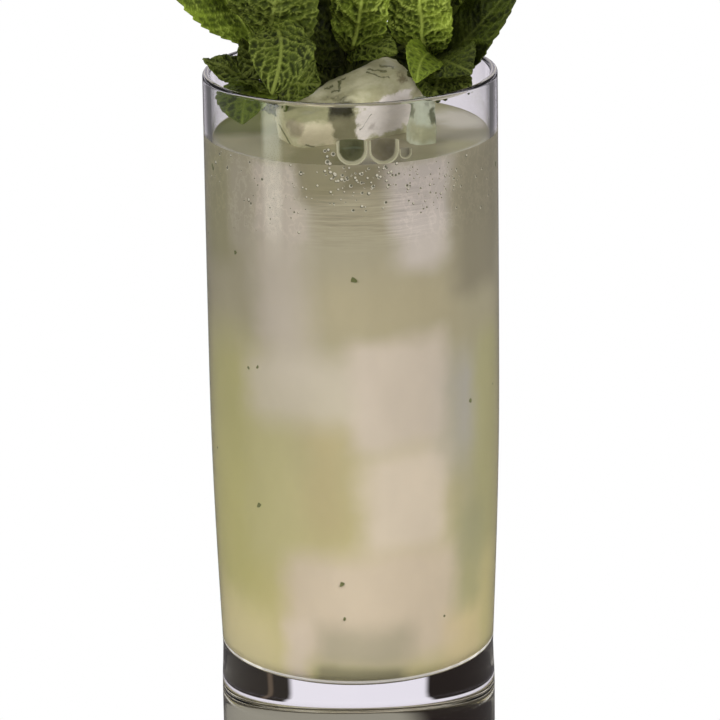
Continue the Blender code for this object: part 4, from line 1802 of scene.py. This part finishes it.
SPRIGS = (
    Sprig(
        "sprig_left",
        "mint_left",
        stem=((-13.0, 9.0, 134.3), (-17.5, 9.0, 152.3), (-21.0, 3.0, 171.3)),
        leaves=LEFT_LEAVES,
    ),
    Sprig(
        "sprig_centre",
        "mint_centre",
        stem=((1.0, 15.0, 134.3), (0.0, 15.0, 153.3), (-2.0, 10.0, 173.3)),
        leaves=CENTRE_LEAVES,
    ),
    Sprig(
        "sprig_right",
        "mint_right",
        stem=((13.0, 15.5, 134.3), (15.0, 14.5, 152.3), (24.0, 5.0, 171.3)),
        leaves=RIGHT_LEAVES,
    ),
)

PEAK_FINISH = IceFinish(
    "ice_peak_finish",
    # Pale facets are painted highlights, dark ones painted shade.
    lit_and_shaded_facets=(
        Facet((-9.0, 150.9), (5.4, 1.7), (0.27, 0.26, 0.13), 0.85, 0.6),
        Facet((-2.0, 150.8), (2.6, 1.9), (0.024, 0.022, 0.006), 1.0, 0.7),
        Facet((-1.6, 147.0), (3.0, 2.9), (0.185, 0.17, 0.095), 0.88, 0.9),
        Facet((-7.4, 146.4), (3.6, 2.6), (0.60, 0.53, 0.36), 0.92, 0.6, -0.10),
        Facet((-12.0, 147.9), (1.7, 1.6), (0.23, 0.19, 0.12), 0.75, 0.9),
        Facet((7.6, 148.6), (6.2, 4.0), (0.84, 0.77, 0.73), 0.95, 0.5, 0.22),
        Facet((11.0, 156.2), (0.9, 0.6), (0.13, 0.10, 0.05), 0.8, 0.4),
        Facet((5.0, 146.2), (1.0, 0.8), (0.42, 0.36, 0.33), 0.6, 0.6),
    ),
    cracks=(
        Crack((-1.1, 156.0), (-2.4, 155.2), 0.42),
        Crack((-2.4, 155.2), (-2.3, 153.8), 0.42),
        Crack((-2.3, 153.8), (-4.0, 153.6), 0.38),
        Crack((-5.6, 154.2), (-3.8, 154.6), 0.40),
        Crack((3.9, 157.3), (8.0, 157.2), 0.30),
        Crack((3.6, 156.9), (6.2, 156.4), 0.30),
        Crack((6.2, 156.4), (8.6, 156.2), 0.26),
        Crack((6.6, 158.0), (9.8, 157.6), 0.30),
        Crack((-15.3, 147.4), (-13.2, 143.6), 0.45),
        Crack((-9.6, 144.2), (-8.2, 143.9), 0.50),
        Crack((2.0, 146.0), (4.5, 149.5), 0.16),
    ),
)

CHIP_FINISH = IceFinish(
    "ice_chip_finish",
    # Pale facets are painted highlights, dark ones painted shade.
    lit_and_shaded_facets=(
        Facet((15.6, 150.0), (1.5, 2.6), (0.42, 0.44, 0.34), 0.85, 0.5),
        Facet((13.2, 150.6), (0.7, 1.6), (0.10, 0.11, 0.06), 0.80, 0.5),
        Facet((17.9, 149.8), (0.6, 1.8), (0.07, 0.075, 0.035), 0.85, 0.4),
        Facet((16.0, 146.0), (2.6, 1.9), (0.30, 0.29, 0.17), 0.80, 0.8),
    ),
    clear=(0.36, 0.37, 0.26),
    cloud=(0.50, 0.51, 0.39),
)

ICE_BLOCKS = (
    IceBlock(
        "ice_peak",
        "ice_front",
        middle=(0.3, -0.6, 142.3),
        size=(33.0, 14.0, 26.0),
        turns=(14.0, -14.0, 28.0),
        rounding=4.0,
        seed=3,
        finish=PEAK_FINISH,
    ),
    IceBlock(
        "ice_chip",
        "ice_side",
        middle=(15.5, -10.2, 147.6),
        size=(5.2, 6.0, 12.4),
        turns=(4.0, 3.0, 20.0),
        rounding=2.0,
        seed=8,
        finish=CHIP_FINISH,
    ),
)


def report(piece: bpy.types.Object) -> None:
    """Make a piece ride on the one body, and log it."""
    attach(piece, "root")
    LOG.info("%s: %d faces", piece.name, len(piece.data.polygons))


def main() -> None:
    """Load the frame, build every piece and hand the scene over."""
    logging.basicConfig(level=logging.INFO, format="%(name)s: %(message)s")
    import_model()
    Studio().build()
    tumbler = Tumbler()
    report(tumbler.build_glass())
    report(tumbler.build_drink())
    for block in ICE_BLOCKS:
        report(block.build())
    for sprig in SPRIGS:
        report(sprig.build(LeafFinish(f"{sprig.name}_leaf").build()))
    bubbles = Bubbles(tumbler)
    for number, bubble in enumerate(bubbles.big):
        report(bubbles.build_one(bubble, number))
    report(bubbles.build_small())
    report(Specks(tumbler).build())
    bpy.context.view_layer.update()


if __name__ == "__main__":
    main()
